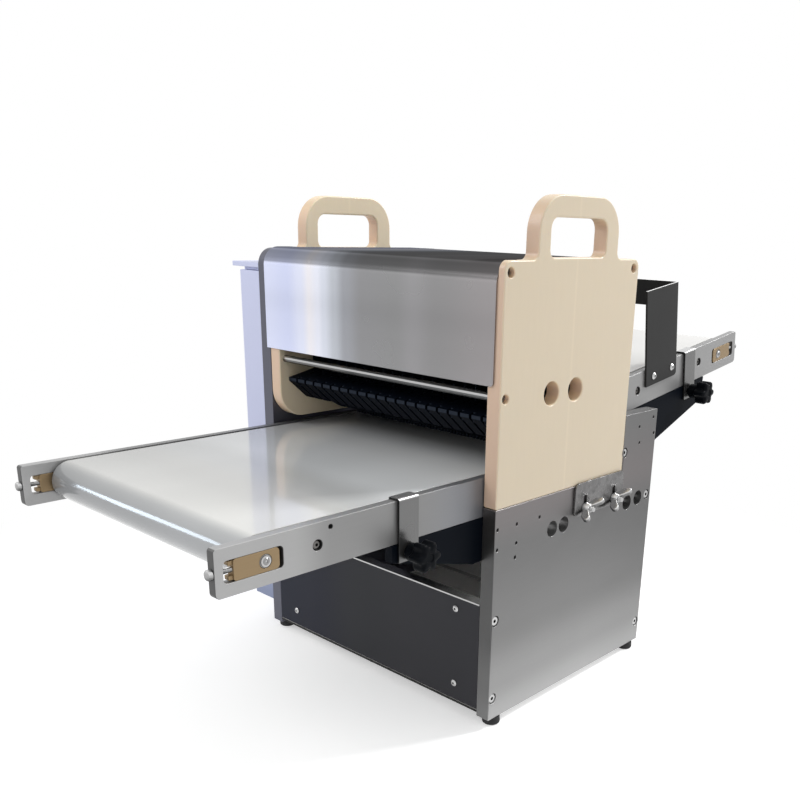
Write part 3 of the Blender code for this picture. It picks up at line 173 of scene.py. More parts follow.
def ramp_of(tree, factor, marks):
    node = add(tree, "ValToRGB", None, Fac=factor)
    node.color_ramp.interpolation = "EASE"
    elements = node.color_ramp.elements
    while len(elements) < len(marks):
        elements.new(0.5)
    for element, (position, colour) in zip(elements, marks):
        element.position = position
        element.color = colour
    return node.outputs["Color"]


def along_axis(tree, coordinates, axis, low, high):
    """0 to 1 along one of the row's axes, given in the machine's frame."""
    split = add(tree, "SeparateXYZ", None, Vector=coordinates)
    offset = ORIGIN["XYZ".index(axis)]
    return spread(tree, split.outputs[axis], low + offset, high + offset)


def multiplied(tree, one, other):
    mixed = add(tree, "Mix", {"data_type": "RGBA", "blend_type": "MULTIPLY"}, i0=1.0, i6=one, i7=other)
    return mixed.outputs[2]


def facing_level(tree, axis):
    """0 where a face looks down an axis, 1 where it looks up it."""
    normal = add(tree, "NewGeometry").outputs["Normal"]
    component = add(tree, "SeparateXYZ", None, Vector=normal).outputs[axis]
    return spread(tree, component, -1.0, 1.0)


def shaded(tree, coordinates, colour, across, faces):
    """The colour times what the place along the machine and the face's direction give, mostly painted
    shade, light and reflection.
    """
    shades = [
        ramp_of(tree, along_axis(tree, coordinates, axis, low, high), marks) for axis, low, high, marks in across
    ]
    shades += [ramp_of(tree, facing_level(tree, axis), marks) for axis, marks in faces]
    for shade in shades:
        colour = multiplied(tree, colour, shade)
    return colour if shades else colour[:3]


NOISE_DETAIL = 3.0
NOISE_LOW, NOISE_HIGH = 0.3, 0.7
SMOOTHEST = 0.02
RELIEF_DEPTH = 0.0004
COAT_ROUGHNESS = 0.06
SKIN_DEPTH = (0.006, 0.004, 0.002)
DULL_FROM, DULL_TO = 0.55, 0.75


def finish(
    name, colour, roughness, metallic, grain, mottle, span=0.05, bump=0.05, coat=0.0, subsurface=0.0,
    across=(), faces=(), specular=0.5, patch=11.0, dull_top=False,
):
    """A node material. Along a metre of each axis lie grain fine spots and patch broad ones, which change
    the colour by the share mottle and the roughness by span. Each across = (axis, low, high, stops) blends
    colours along the machine, mostly painted shade, light and reflection. Each faces = (axis, stops) darkens
    by which way a face looks: painted shade and reflection, which leave some bends, edges and chamfers
    light as painted highlights. dull_top takes the mirror off what looks up, so that the painted
    reflection there shows as its colour."""
    made = bpy.data.materials.new(name)
    made.use_nodes = True
    tree = made.node_tree
    shader = tree.nodes["Principled BSDF"]
    coordinates = add(tree, "TexCoord").outputs["Object"]
    stretched = add(tree, "Mapping", None, Vector=coordinates, Scale=grain).outputs["Vector"]
    fine = add(tree, "TexNoise", None, Vector=stretched, Scale=1.0, Detail=NOISE_DETAIL).outputs["Fac"]
    broad = add(tree, "TexNoise", None, Vector=coordinates, Scale=patch, Detail=NOISE_DETAIL).outputs["Fac"]
    both = add(tree, "Math", {"operation": "ADD"}, i0=fine, i1=broad).outputs[0]
    level = spread(tree, both, 0.5, 1.5, 1 - mottle, 1 + mottle)
    source = shaded(tree, coordinates, colour, across, faces)
    varied = add(tree, "VectorMath", {"operation": "SCALE"}, Vector=source, Scale=level)
    rough = spread(tree, broad, NOISE_LOW, NOISE_HIGH, max(roughness - span, SMOOTHEST), roughness + span)
    relief = add(tree, "Bump", None, Height=fine, Strength=bump, Distance=RELIEF_DEPTH)
    if dull_top:
        metallic = spread(tree, facing_level(tree, "Z"), DULL_FROM, DULL_TO, metallic, 0.0)
    plug(
        tree, shader, Base_Color=varied.outputs["Vector"], Roughness=rough, Normal=relief.outputs["Normal"],
        Metallic=metallic, Specular_IOR_Level=specular, Coat_Weight=coat, Coat_Roughness=COAT_ROUGHNESS,
    )
    if subsurface:
        plug(tree, shader, Subsurface_Weight=subsurface, Subsurface_Radius=SKIN_DEPTH, Subsurface_Scale=1.0)
    return made


BRUSHED_ACROSS = (12, 900, 900)
BRUSHED_UP = (900, 900, 14)
BRUSHED_ALONG = (900, 12, 900)
WHITE = grey(255)
SCRIBED_FROM, SCRIBED_TO = -0.0440, -0.0380
CASE_PALE_FROM = 0.25

# Painted reflection: the cover's colours paint in the bright room it mirrors at its left and a dull one
# at its right, its flat top a dark ceiling
COVER_STOPS = stops(
    (0.00, 226, 231, 255), (0.12, 218, 224, 252), (0.19, 232, 236, 255), (0.23, 246, 244, 250),
    (0.27, 240, 242, 254), (0.30, 224, 228, 240), (0.35, 196, 200, 208), (0.40, 166, 168, 174),
    (0.48, 152, 152, 154), (0.62, 151, 151, 152), (0.69, 158, 157, 159), (0.78, 151, 150, 151),
    (1.00, 161, 157, 158),
)
# Painted reflection: faint lighter and darker bands up the cover
COVER_HEIGHT_STOPS = stops((0.00, 255), (0.35, 250), (0.60, 244), (0.85, 252), (1.00, 255))
# Painted reflection by facing: the rounded top corner and flat top darker, a painted highlight on the bend
COVER_FACES = stops(
    (0.00, 252), (0.53, 252), (0.57, 255), (0.64, 178), (0.75, 164), (0.90, 156), (0.95, 166), (0.98, 126),
    (1.00, 121),
)
# Painted reflection: the near side plate lighter towards its bottom, darker up its height
STEEL_STOPS = stops((0.00, 207), (0.14, 180), (0.34, 149), (0.62, 140), (0.78, 154, 149, 149), (1.00, 147))
# Painted highlight: the plate's edges, rims and bore walls lighter than its broad faces
STEEL_SIDES = stops((0.00, 212), (0.20, 255), (0.80, 255), (1.00, 212))
# Painted shade: the plate darker towards the rear
STEEL_ALONG = stops((0.00, 255), (0.45, 255), (1.00, 238))
# Painted reflection: the plate's front edge face darker, a dark room in it
FRONT_EDGE_STOPS = stops((0.00, 160), (0.20, 160), (0.60, 255), (1.00, 255))
# Painted reflection: the rails' front end faces darker, a dark room in them
RAIL_FACES = stops((0.00, 128), (0.25, 150), (0.45, 255), (1.00, 255))
# Painted shade and reflection: the rails darker and bluer near the machine, lightest at their front ends
RAIL_STOPS = stops(
    (0.00, 255), (0.06, 250), (0.12, 212), (0.24, 207), (0.33, 203, 205, 211), (0.40, 178, 181, 190),
    (0.52, 210), (0.70, 226), (1.00, 230),
)
# Painted shade and reflection: the front panel dark under the outfeed belt, darker and bluer at its left
PANEL_STOPS = stops(
    (0.00, 26, 30, 44), (0.20, 34, 36, 48), (0.45, 48, 49, 53), (0.70, 54, 54, 58), (1.00, 54, 54, 58),
)
# The guard's own dark paint; its top edge the bare cut edge, whitened as a painted highlight
GUARD_FACES = stops((0.00, 46), (0.88, 46), (0.93, 252), (1.00, 255))
# Painted highlight and shade: a bright line along the tie rods' upper side, dark beneath
ROD_FACES = stops((0.00, 70), (0.30, 110), (0.48, 150), (0.66, 225), (0.80, 255), (0.92, 180), (1.00, 120))
# Painted highlight: the nylon plates' rounded rims lighter than their broad faces, edges faintly pinker
NYLON_FACES = stops(
    (0.00, 238), (0.50, 255, 248, 243), (0.60, 255, 253, 250), (0.90, 255), (0.99, 238), (1.00, 236),
)
# Painted shade: the nylon plates' front edges darker and pinker
NYLON_FRONT = stops((0.00, 232, 222, 226), (0.10, 246, 238, 236), (0.30, 255), (1.00, 255))
# Painted light: the far cassette plate lighter than the near one
NYLON_ACROSS = stops((0.00, 255), (0.10, 255), (0.80, 239, 239, 242), (1.00, 239, 239, 242))
SCRIBED = stops((0.00, 250), (0.50, 255), (1.00, 250))
# Painted shade and highlight: wing nuts and tension screws dark where they look down, brightest looking up at a
# slant
CAST_FACES = stops((0.00, 70), (0.35, 140), (0.55, 212), (0.75, 255), (1.00, 236))
# The comb's own blue-black; its fingers' front faces lighter as a painted highlight
COMB_FACES = stops((0.00, 40, 46, 56), (0.04, 16, 22, 32), (0.12, 7, 12, 22), (1.00, 6, 11, 20))
# Painted shade: the drive case darker and bluer towards the floor
CASE_UP = stops((0.00, 158, 168, 182), (0.40, 206, 212, 220), (1.00, 255))
# Painted shade: the belts darker towards the far side
BELT_ACROSS = stops((0.00, 209), (0.32, 232), (0.50, 240), (0.80, 255), (1.00, 255))
# Painted light: the rear panel's inner face pale, as light inside the base; its outer face darker
OUTWARD_Y = stops((0.00, 255), (0.45, 255), (0.55, 70), (1.00, 70))
# Painted light: the bottom plate's upper face pale, as light inside the base; its underside dark
UPWARD_Z = stops((0.00, 46), (0.52, 46), (0.60, 255), (1.00, 255))
# Painted shade and light: the outfeed's front roll darker, the belts lightest towards the machine
BELT_STOPS = stops(
    (0.00, 158, 160, 163), (0.012, 184, 186, 187), (0.030, 217, 217, 213), (0.12, 221, 221, 217),
    (0.19, 218, 220, 220), (0.25, 240, 243, 244), (0.39, 247, 249, 250), (0.43, 236, 238, 240),
    (0.52, 224, 225, 224), (0.64, 216, 215, 211), (1.00, 226, 225, 222),
)

COVER_STEEL = finish(
    "cover steel", WHITE, 0.26, 0.85, BRUSHED_UP, 0.02, span=0.03,
    across=[("X", COVER_LEFT, COVER_RIGHT, COVER_STOPS), ("Z", COVER_BOTTOM, COVER_CORNER[1], COVER_HEIGHT_STOPS)],
    faces=[("Z", COVER_FACES)], specular=0.0, dull_top=True,
)
PLATE_STEEL = finish(
    "side plate steel", WHITE, 0.38, 0.8, BRUSHED_ALONG, 0.03,
    across=[
        ("Z", 0.0, NEAR_REAR_TOP, STEEL_STOPS),
        ("Y", FRONT, REAR, STEEL_ALONG),
        ("Y", FRONT - 0.0003, FRONT + 0.0010, FRONT_EDGE_STOPS),
    ],
    faces=[("X", STEEL_SIDES)],
)
# Painted shade: the far side plate a darker, bluer copy of the side plate steel
FAR_STEEL = finish("far plate steel", rgb(96, 97, 108), 0.38, 0.7, BRUSHED_UP, 0.03, bump=0.04)
BRIGHT_STEEL = finish("bright steel", grey(190), 0.20, 1.0, even(200), 0.05, span=0.06, bump=0.03)
ROD_STEEL = finish(
    "rod steel", grey(214), 0.18, 0.9, BRUSHED_ACROSS, 0.03, span=0.04, bump=0.03, faces=[("Z", ROD_FACES)],
)
CAST_STEEL = finish(
    "cast steel", grey(212), 0.26, 1.0, even(500), 0.06, span=0.06, bump=0.10, faces=[("Z", CAST_FACES)],
)
SUNK_STEEL = finish("sunk screw steel", rgb(112, 110, 108), 0.30, 0.9, even(300), 0.08, span=0.06)
# Painted highlight and shade: the strap bright on top and its bend, greyer down its leg, darker where it looks
# ahead
STRAP_STEEL = finish(
    "strap steel", grey(205), 0.26, 0.9, BRUSHED_UP, 0.06, span=0.06,
    faces=[
        ("Z", stops((0.00, 140), (0.52, 150), (0.70, 236), (1.00, 255))),
        ("Y", stops((0.00, 120), (0.25, 150), (0.45, 255), (1.00, 255))),
    ],
)
RETAINER_STEEL = finish(
    "retainer steel", rgb(124, 123, 123), 0.26, 0.95, even(200), 0.42, span=0.10, bump=0.06, patch=70.0,
)
PANEL_STEEL = finish(
    "panel steel", WHITE, 0.36, 0.4, BRUSHED_ACROSS, 0.04, span=0.04, bump=0.04,
    across=[("X", -INSIDE, INSIDE, PANEL_STOPS)], specular=0.2,
)
GUARD_STEEL = finish(
    "guard steel", grey(252), 0.46, 0.2, (700, 700, 60), 0.06, bump=0.04, faces=[("Z", GUARD_FACES)],
    specular=0.2,
)
REAR_STEEL = finish(
    "rear panel steel", rgb(242, 240, 238), 0.55, 0.0, BRUSHED_ACROSS, 0.06, faces=[("Y", OUTWARD_Y)],
    specular=0.2,
)
BOTTOM_STEEL = finish(
    "bottom plate steel", rgb(242, 240, 238), 0.55, 0.0, BRUSHED_ACROSS, 0.06, faces=[("Z", UPWARD_Z)],
    specular=0.2,
)
# Painted shade: the slider beds blue-black, as the shade inside the belts
INNER_STEEL = finish("inner steel", rgb(22, 28, 38), 0.50, 0.2, BRUSHED_ACROSS, 0.06, specular=0.3)
RAIL_METAL = finish(
    "rail aluminium", rgb(174, 174, 174), 0.42, 0.6, BRUSHED_ALONG, 0.03, span=0.04,
    across=[("Y", BELTS_FROM, BELTS_TO, RAIL_STOPS)], faces=[("Y", RAIL_FACES)],
)
ROLLER_METAL = finish("roller aluminium", grey(150), 0.30, 0.9, BRUSHED_ALONG, 0.05)
BRASS = finish("brass", rgb(150, 128, 96), 0.40, 0.5, BRUSHED_ALONG, 0.07, bump=0.06)
# Painted shade: the blades and shaft dark, as the shade under the cover
KNIFE_METAL = finish("knife steel", rgb(74, 80, 92), 0.26, 0.9, even(300), 0.08, span=0.06, bump=0.04)
GEAR_METAL = finish("gear steel", grey(120), 0.35, 0.9, even(300), 0.06)
NYLON = finish(
    "cream nylon", rgb(255, 238, 207), 0.38, 0.0, (260, 260, 26), 0.02, span=0.06, bump=0.02, coat=0.10,
    subsurface=0.10,
    across=[("X", -OUTSIDE, OUTSIDE, NYLON_ACROSS), ("Y", SCRIBED_FROM, SCRIBED_TO, SCRIBED)],
    faces=[("X", NYLON_FACES), ("Y", NYLON_FRONT)],
)
BELT = finish(
    "belt", WHITE, 0.16, 0.0, even(500), 0.010, span=0.03, bump=0.008, coat=0.5,
    across=[("Y", BELTS_FROM, BELTS_TO, BELT_STOPS), ("X", -BELT_HALF, BELT_HALF, BELT_ACROSS)],
)
BLACK_PLASTIC = finish(
    "black plastic", rgb(6, 9, 14), 0.40, 0.0, even(900), 0.08, span=0.06, bump=0.06, specular=0.06,
)
COMB_PLASTIC = finish(
    "comb plastic", WHITE, 0.60, 0.0, even(900), 0.10, span=0.06, bump=0.06, faces=[("Y", COMB_FACES)],
    specular=0.05,
)
ARM_PAINT = finish(
    "arm paint", rgb(7, 12, 20), 0.50, 0.0, even(500), 0.08, span=0.06, bump=0.06, specular=0.05,
)
# Painted shade: the motor's paint darkened to the shade inside the base
SHADED_MOTOR_PAINT = finish("shaded motor paint", rgb(40, 44, 52), 0.45, 0.1, even(400), 0.06, span=0.06, bump=0.08)
CASE_PAINT = finish(
    "case paint", rgb(210, 215, 244), 0.40, 0.0, even(500), 0.02,
    across=[("Z", 0.0, CASE_PALE_FROM, CASE_UP)],
)
RUBBER = finish("rubber", rgb(22, 22, 24), 0.65, 0.0, even(700), 0.10, span=0.08, bump=0.12)
# Painted shade: the dark discs in the screws' sockets
SOCKET_DARK = finish("socket dark", grey(12), 0.60, 0.2, even(400), 0.05, specular=0.2)
GREEN_PLASTIC = finish("green plastic", rgb(30, 140, 62), 0.30, 0.0, even(500), 0.04, bump=0.04, coat=0.3)
RED_PLASTIC = finish("red plastic", rgb(190, 36, 30), 0.30, 0.0, even(500), 0.04, bump=0.04, coat=0.3)


# Outlines and meshes

def arc(centre, radius, start, end, steps):
    angles = [math.radians(start + (end - start) * i / steps) for i in range(steps + 1)]
    return [(centre[0] + radius * math.cos(a), centre[1] + radius * math.sin(a)) for a in angles]


def circle(centre, radius, sides=32):
    return arc(centre, radius, 0, 360 - 360 / sides, sides - 1)


def rectangle(low, high):
    return [(low[0], low[1]), (high[0], low[1]), (high[0], high[1]), (low[0], high[1])]


def rounded(corners, steps):
    """Corners (a, b, radius) of a closed outline, each rounded by an arc of its radius."""
    outline = []
    for i, (a, b, radius) in enumerate(corners):
        if radius == 0:
            outline.append((a, b))
            continue
        here = Vector((a, b))
        before = (Vector(corners[i - 1][:2]) - here).normalized()
        after = (Vector(corners[(i + 1) % len(corners)][:2]) - here).normalized()
        half = before.angle(after) / 2
        middle = here + (before + after).normalized() * (radius / math.sin(half))
        first = here + before * (radius / math.tan(half)) - middle
        last = here + after * (radius / math.tan(half)) - middle
        turn = first.angle_signed(last)
        start = math.atan2(first.y, first.x)
        for k in range(steps + 1):
            angle = start - turn * k / steps
            outline.append((middle.x + radius * math.cos(angle), middle.y + radius * math.sin(angle)))
    return outline


FRAMES = {
    "X": Matrix(((0, 0, 1), (1, 0, 0), (0, 1, 0))),
    "Y": Matrix(((0, 1, 0), (0, 0, 1), (1, 0, 0))),
    "Z": Matrix.Identity(3),
}
UNIT = {"X": Vector((1, 0, 0)), "Y": Vector((0, 1, 0)), "Z": Vector((0, 0, 1))}
WELD = 1e-6
CAD_WELD = 2e-6
FLAT_ANGLE = math.radians(0.6)
SHARP_ANGLE = math.radians(40)


def prism(axis, outline, start, end, bevel=0.0, holes=(), steps=2):
    """An outline with holes extruded along an axis, all its rims rounded, in the machine's frame."""
    curve = bpy.data.curves.new("outline", "CURVE")
    curve.dimensions = "2D"
    curve.fill_mode = "BOTH"
    curve.extrude = (end - start) / 2 - bevel
    curve.bevel_depth = bevel
    curve.bevel_resolution = steps
    curve.offset = -bevel
    for loop in (outline, *holes):
        points = [(b, a) for a, b in loop] if axis == "Y" else loop
        spline = curve.splines.new("POLY")
        spline.points.add(len(points) - 1)
        for point, (a, b) in zip(spline.points, points):
            point.co = (a, b, 0.0, 1.0)
        spline.use_cyclic_u = True
    guide = bpy.data.objects.new("outline", curve)
    bpy.context.scene.collection.objects.link(guide)
    bpy.context.view_layer.update()
    mesh = bpy.data.meshes.new_from_object(guide.evaluated_get(bpy.context.evaluated_depsgraph_get()))
    bpy.data.objects.remove(guide)
    middle = UNIT[axis] * (start + end) / 2
    return shaped(mesh, Matrix.Translation(middle) @ FRAMES[axis].to_4x4())


def shaped(mesh, matrix):
    bm = bmesh.new()
    bm.from_mesh(mesh)
    bm.transform(matrix)
    bmesh.ops.remove_doubles(bm, verts=bm.verts, dist=WELD)
    bmesh.ops.recalc_face_normals(bm, faces=bm.faces)
    bm.to_mesh(mesh)
    bm.free()
    return mesh


def lofted(sections, places, centre=(0.0, 0.0), axis="X"):
    """Rings about an axis, each a list of radii at even angles, joined in order and closed."""
    turn = FRAMES[axis]
    offset = turn @ Vector((centre[1], centre[0], 0) if axis == "Y" else (*centre, 0))
    bm = bmesh.new()
    rings = []
    for radii, place in zip(sections, places):
        count = len(radii)
        points = [
            Vector((r * math.cos(2 * math.pi * i / count), r * math.sin(2 * math.pi * i / count), place))
            for i, r in enumerate(radii)
        ]
        rings.append([bm.verts.new(turn @ point + offset) for point in points])
    for low, high in zip(rings, rings[1:]):
        for i in range(len(low)):
            j = (i + 1) % len(low)
            bm.faces.new((low[i], low[j], high[j], high[i]))
    bm.faces.new(rings[0][::-1])
    bm.faces.new(rings[-1])
    bmesh.ops.recalc_face_normals(bm, faces=bm.faces)
    mesh = bpy.data.meshes.new("lofted")
    bm.to_mesh(mesh)
    bm.free()
    return mesh


def turned(profile, centre=(0.0, 0.0), axis="X", sides=48):
    """A profile of (radius, place) turned about an axis."""
    return lofted([[radius] * sides for radius, _ in profile], [place for _, place in profile], centre, axis)


def joined(meshes):
    bm = bmesh.new()
    for mesh in meshes:
        bm.from_mesh(mesh)
    whole = bpy.data.meshes.new("joined")
    bm.to_mesh(whole)
    bm.free()
    return whole


def moved(mesh, matrix):
    mesh.transform(matrix)
    return mesh


def carved(mesh, *cutters):
    """The mesh without what the cutters cover."""
    scene = bpy.context.scene.collection.objects
    target = bpy.data.objects.new("carved", mesh)
    scene.link(target)
    tools = [bpy.data.objects.new("cutter", cutter) for cutter in cutters]
    for tool in tools:
        scene.link(tool)
        carve = target.modifiers.new("carve", "BOOLEAN")
        carve.operation = "DIFFERENCE"
        carve.object = tool
    bpy.context.view_layer.update()
    made = bpy.data.meshes.new_from_object(target.evaluated_get(bpy.context.evaluated_depsgraph_get()))
    for used in (target, *tools):
        bpy.data.objects.remove(used)
    return made


def dress(mesh, material, sharp):
    """One material, and smooth but for edges over the sharp angle."""
    mesh.materials.clear()
    mesh.materials.append(material)
    mesh.shade_smooth()
    mesh.set_sharp_from_angle(angle=math.radians(sharp))


def piece(name, mesh, material, body, replaced=(), sharp=38):
    """Puts a mesh into the scene as one piece that rides on a body of the frame."""
    mesh.transform(Matrix.Translation(ORIGIN))
    dress(mesh, material, sharp)
    obj = bpy.data.objects.new(name, mesh)
    bpy.context.scene.collection.objects.link(obj)
    weighted = obj.modifiers.new("weighted normals", "WEIGHTED_NORMAL")
    weighted.keep_sharp = True
    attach(obj, body)
    if replaced:
        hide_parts(*replaced)


def set_material(node, material):
    """Keeps a CAD node whose shape is right and gives it a better material."""
    dress(frame["nodes"][node].data, material, 35)


def softened_mesh(node, width, segments=2):
    """A copy of a CAD node's mesh with its sharp edges rounded, in the machine's frame."""
    bm = bmesh.new()
    bm.from_mesh(frame["nodes"][node].data)
    bmesh.ops.remove_doubles(bm, verts=bm.verts, dist=CAD_WELD)
    bmesh.ops.dissolve_limit(bm, angle_limit=FLAT_ANGLE, verts=bm.verts, edges=bm.edges)
    edges = [e for e in bm.edges if len(e.link_faces) == 2 and e.calc_face_angle() > SHARP_ANGLE]
    bmesh.ops.bevel(
        bm, geom=edges, offset=width, segments=segments, profile=0.5, affect="EDGES", clamp_overlap=True
    )
    bmesh.ops.recalc_face_normals(bm, faces=bm.faces)
    mesh = bpy.data.meshes.new(node)
    bm.to_mesh(mesh)
    bm.free()
    return moved(mesh, Matrix.Translation(-ORIGIN))


def softened(node, name, width, material, body, segments=2):
    """Stands for a CAD node, with that node's sharp edges rounded."""
    piece(name, softened_mesh(node, width, segments), material, body, (node,))


# Screws. Each is made standing on Z = 0 and then turned to face out of its surface

Screw = namedtuple("Screw", "radius height across depth dome shank")
PLATE_SCREW = Screw(0.0053, 0.0008, 0.0040, 0.0024, 0.0, 0.0140)
PANEL_SCREW = Screw(0.0040, 0.0014, 0.0024, 0.0012, 0.0006, 0.0)
RAIL_SCREW = Screw(0.0040, 0.0004, 0.0030, 0.0018, 0.0004, 0.0050)
SHAFT_SCREW = Screw(0.0034, 0.0006, 0.0025, 0.0008, 0.0, 0.0010)
ROD_SCREW = Screw(0.0043, 0.0030, 0.0030, 0.0024, 0.0, 0.0)
GUARD_SCREW = Screw(0.0045, 0.0010, 0.0026, 0.0012, 0.0010, 0.0)
SCREW_SIDES = 24


def hexagon_radii(across):
    angles = [2 * math.pi * i / SCREW_SIDES for i in range(SCREW_SIDES)]
    return [across / 2 / math.cos(angle % (math.pi / 3) - math.pi / 6) for angle in angles]


def socket_screw(kind):
    """A head whose hexagonal socket ends in a drill point, and a shank below the surface."""
    edge = min(0.0005, kind.radius * 0.15)
    top = kind.height + kind.dome
    floor = top - kind.depth
    rings = [kind.radius * 0.6, kind.radius, kind.radius, kind.radius - edge, (kind.radius + kind.across / 2) / 2]
    sections = [[radius] * SCREW_SIDES for radius in rings]
    sections += [hexagon_radii(across) for across in (kind.across, kind.across, kind.across * 0.5)]
    places = [-kind.shank, -kind.shank, kind.height - edge, kind.height, top, top, floor]
    return lofted(sections, places + [floor - kind.across * 0.15], axis="Z")


def socket_floor(kind):
    """A dark disc in the bottom of the socket: painted shade."""
    level = kind.height + kind.dome - kind.depth
    radius = kind.across * 0.56
    return turned([(radius, level - 0.0004), (radius, level + 0.0002)], axis="Z", sides=12)


DIRECTIONS = {
    "+X": Matrix.Rotation(math.radians(90), 4, "Y"),
    "-X": Matrix.Rotation(math.radians(-90), 4, "Y"),
    "-Y": Matrix.Rotation(math.radians(90), 4, "X"),
}


def facing(mesh, direction, place):
    return moved(mesh, Matrix.Translation(Vector(place)) @ DIRECTIONS[direction])


def screws(name, body, places, direction, kind, material=BRIGHT_STEEL):
    heads = [facing(socket_screw(kind), direction, place) for place in places]
    floors = [facing(socket_floor(kind), direction, place) for place in places]
    piece(f"{name}_heads", joined(heads), material, body)
    # The dark discs in the sockets are painted shade
    piece(f"{name}_sockets", joined(floors), SOCKET_DARK, body)


# The base. Places on the side plates are (y, z)

RIGHT_HEADS = ((-0.1535, 0.122), (-0.153, 0.026), (0.146, 0.0276), (0.084, 0.274), (0.1444, 0.209))
TAPPED = (
    (-0.1555, 0.2286), (-0.1551, 0.2057), (-0.1232, 0.2282), (-0.1228, 0.2063), (-0.1240, 0.1900),
    (-0.0830, 0.2274), (0.116, 0.282), (0.113, 0.3026), (0.1445, 0.311), (0.1486, 0.290),
)
LARGE = ((-0.0580, 0.2078), (-0.0360, 0.2082), (0.0980, 0.2073), (0.1230, 0.2086))


PLATE_CORNER = 0.001
PLATE_BEVEL = 0.0006
NEAR_STEP = 0.0803
FAR_CORNER = 0.020
HEAD_SUNK = 0.0020
HEAD_HOLE = 0.0063
TAPPED_HOLE = 0.0021
LARGE_HOLE = 0.0095
KNIFE_HOLE = 0.0083
MOTOR_SHAFT, MOTOR_HOLE = (0.01176, 0.17132), 0.008
BOSS_RADIUS, BOSS_HEIGHT = 0.016, 0.004
STUD_RADIUS, THREAD_ROOT = 0.0030, 0.00285
STUD_PITCH, STUD_TURNS = 0.0006, 26
STUD_REACH = 0.0165


def build_near_plate():
    outline = rounded([
        (FRONT, 0.0, PLATE_CORNER), (REAR, 0.0, PLATE_CORNER), (REAR, NEAR_REAR_TOP, PLATE_CORNER),
        (NEAR_STEP, NEAR_REAR_TOP, PLATE_CORNER), (NEAR_STEP, NEAR_TOP, 0.0), (FRONT, NEAR_TOP, PLATE_CORNER),
    ], 3)
    holes = [circle(place, LARGE_HOLE) for place in LARGE]
    holes += [circle(place, TAPPED_HOLE, 16) for place in TAPPED]
    holes += [circle(place, HEAD_HOLE) for place in RIGHT_HEADS]
    plate = prism("X", outline, INSIDE, OUTSIDE, PLATE_BEVEL, holes)
    piece("side_plate_right_faced", plate, PLATE_STEEL, "frame", ("side_plate_right",))
    places = [(OUTSIDE - HEAD_SUNK, y, z) for y, z in RIGHT_HEADS]
    screws("side_plate_screws", "frame", places, "+X", PLATE_SCREW)


def build_studs():
    profile = [(STUD_RADIUS, INSIDE + 0.001)]
    for k in range(STUD_TURNS):
        start = OUTSIDE + STUD_PITCH * k
        profile += [(THREAD_ROOT, start), (STUD_RADIUS, start + STUD_PITCH / 2)]
    tip = OUTSIDE + STUD_REACH
    profile += [(0.0026, tip - 0.0002), (0.0020, tip)]
    studs = [turned(profile, place, sides=24) for place in STUD_PLACES.values()]
    piece("retainer_studs", joined(studs), BRIGHT_STEEL, "frame")


def build_far_plate():
    outline = rounded([
        (FRONT, 0.0, PLATE_CORNER), (REAR, 0.0, PLATE_CORNER), (REAR, FAR_TOP, FAR_CORNER),
        (FRONT, FAR_TOP, FAR_CORNER),
    ], 12)
    bearings = ((OUTFEED_DRIVE, SHAFT_HOLE), (INFEED_DRIVE, SHAFT_HOLE), (KNIFE_AXIS, KNIFE_HOLE))
    holes = [circle(centre, radius) for centre, radius in (*bearings, (MOTOR_SHAFT, MOTOR_HOLE))]
    plate = prism("X", outline, -OUTSIDE, -INSIDE, PLATE_BEVEL, holes)
    bosses = []
    for centre, radius in bearings:
        bore = circle(centre, radius)
        boss = circle(centre, BOSS_RADIUS)
        bosses.append(prism("X", boss, -OUTSIDE - BOSS_HEIGHT, -OUTSIDE + 0.0001, 0.0004, [bore]))
    piece("side_plate_left_faced", plate, FAR_STEEL, "frame", ("side_plate_left",))
    piece("bearing_bosses", joined(bosses), GEAR_METAL, "frame")


PANEL_TOP = 0.138
PANEL_SCREW_X = 0.1465
PANEL_SCREW_HEIGHTS = (0.029, 0.123)
LOWER_SCREW_X = (-0.125, 0.0, 0.125)
LOWER_SCREW_Y = FRONT + 0.0052
FOOT_X = 0.191
FOOT_INSET = 0.016


def build_panels():
    for node, material in (("front_panel", PANEL_STEEL), ("rear_panel", REAR_STEEL)):
        softened(node, f"{node}_folded", 0.0008, material, "frame", 3)
    # Painted highlight: a bright steel strip along the front panel's top bend
    edge = rectangle((FRONT - 0.0001, PANEL_TOP - 0.0014), (FRONT + 0.0145, PANEL_TOP + 0.0003))
    rim = prism("X", edge, -INSIDE + 0.0005, INSIDE - 0.0005, 0.0003)
    piece("front_panel_edge_highlight", rim, BRIGHT_STEEL, "frame")
    places = [(x, FRONT, z) for x in (-PANEL_SCREW_X, PANEL_SCREW_X) for z in PANEL_SCREW_HEIGHTS]
    screws("front_panel_screws", "frame", places, "-Y", PANEL_SCREW)
    profile = [(0.0022, 0.0020), (0.0034, 0.0024), (0.0038, 0.0034), (0.0038, 0.0052)]
    heads = [turned(profile, (x, LOWER_SCREW_Y), "Z", 20) for x in LOWER_SCREW_X]
    piece("front_panel_lower_screws", joined(heads), BRIGHT_STEEL, "frame")
    set_material("bottom_plate", BOTTOM_STEEL)
    set_material("gear_motor", SHADED_MOTOR_PAINT)


def build_feet():
    profile = [(0.0070, -0.0103), (0.0092, -0.0100), (0.0103, -0.0088), (0.0105, -0.0070), (0.0100, -GAP)]
    for across, x in (("right", FOOT_X), ("left", -FOOT_X)):
        for along, y in (("front", FRONT + FOOT_INSET), ("rear", REAR - FOOT_INSET)):
            node = f"foot_{along}_{across}"
            piece(f"{node}_rubber", turned(profile, (x, y), "Z", 40), RUBBER, "frame", (node,))


# Conveyors. Places on them are the way s along the belt from its drive roller and the height h over it

def on_infeed(s, h):
    run = Vector((math.cos(TILT), math.sin(TILT)))
    rise = Vector((-math.sin(TILT), math.cos(TILT)))
    place = Vector(INFEED_DRIVE) + run * s + rise * h
    return (place.x, place.y)


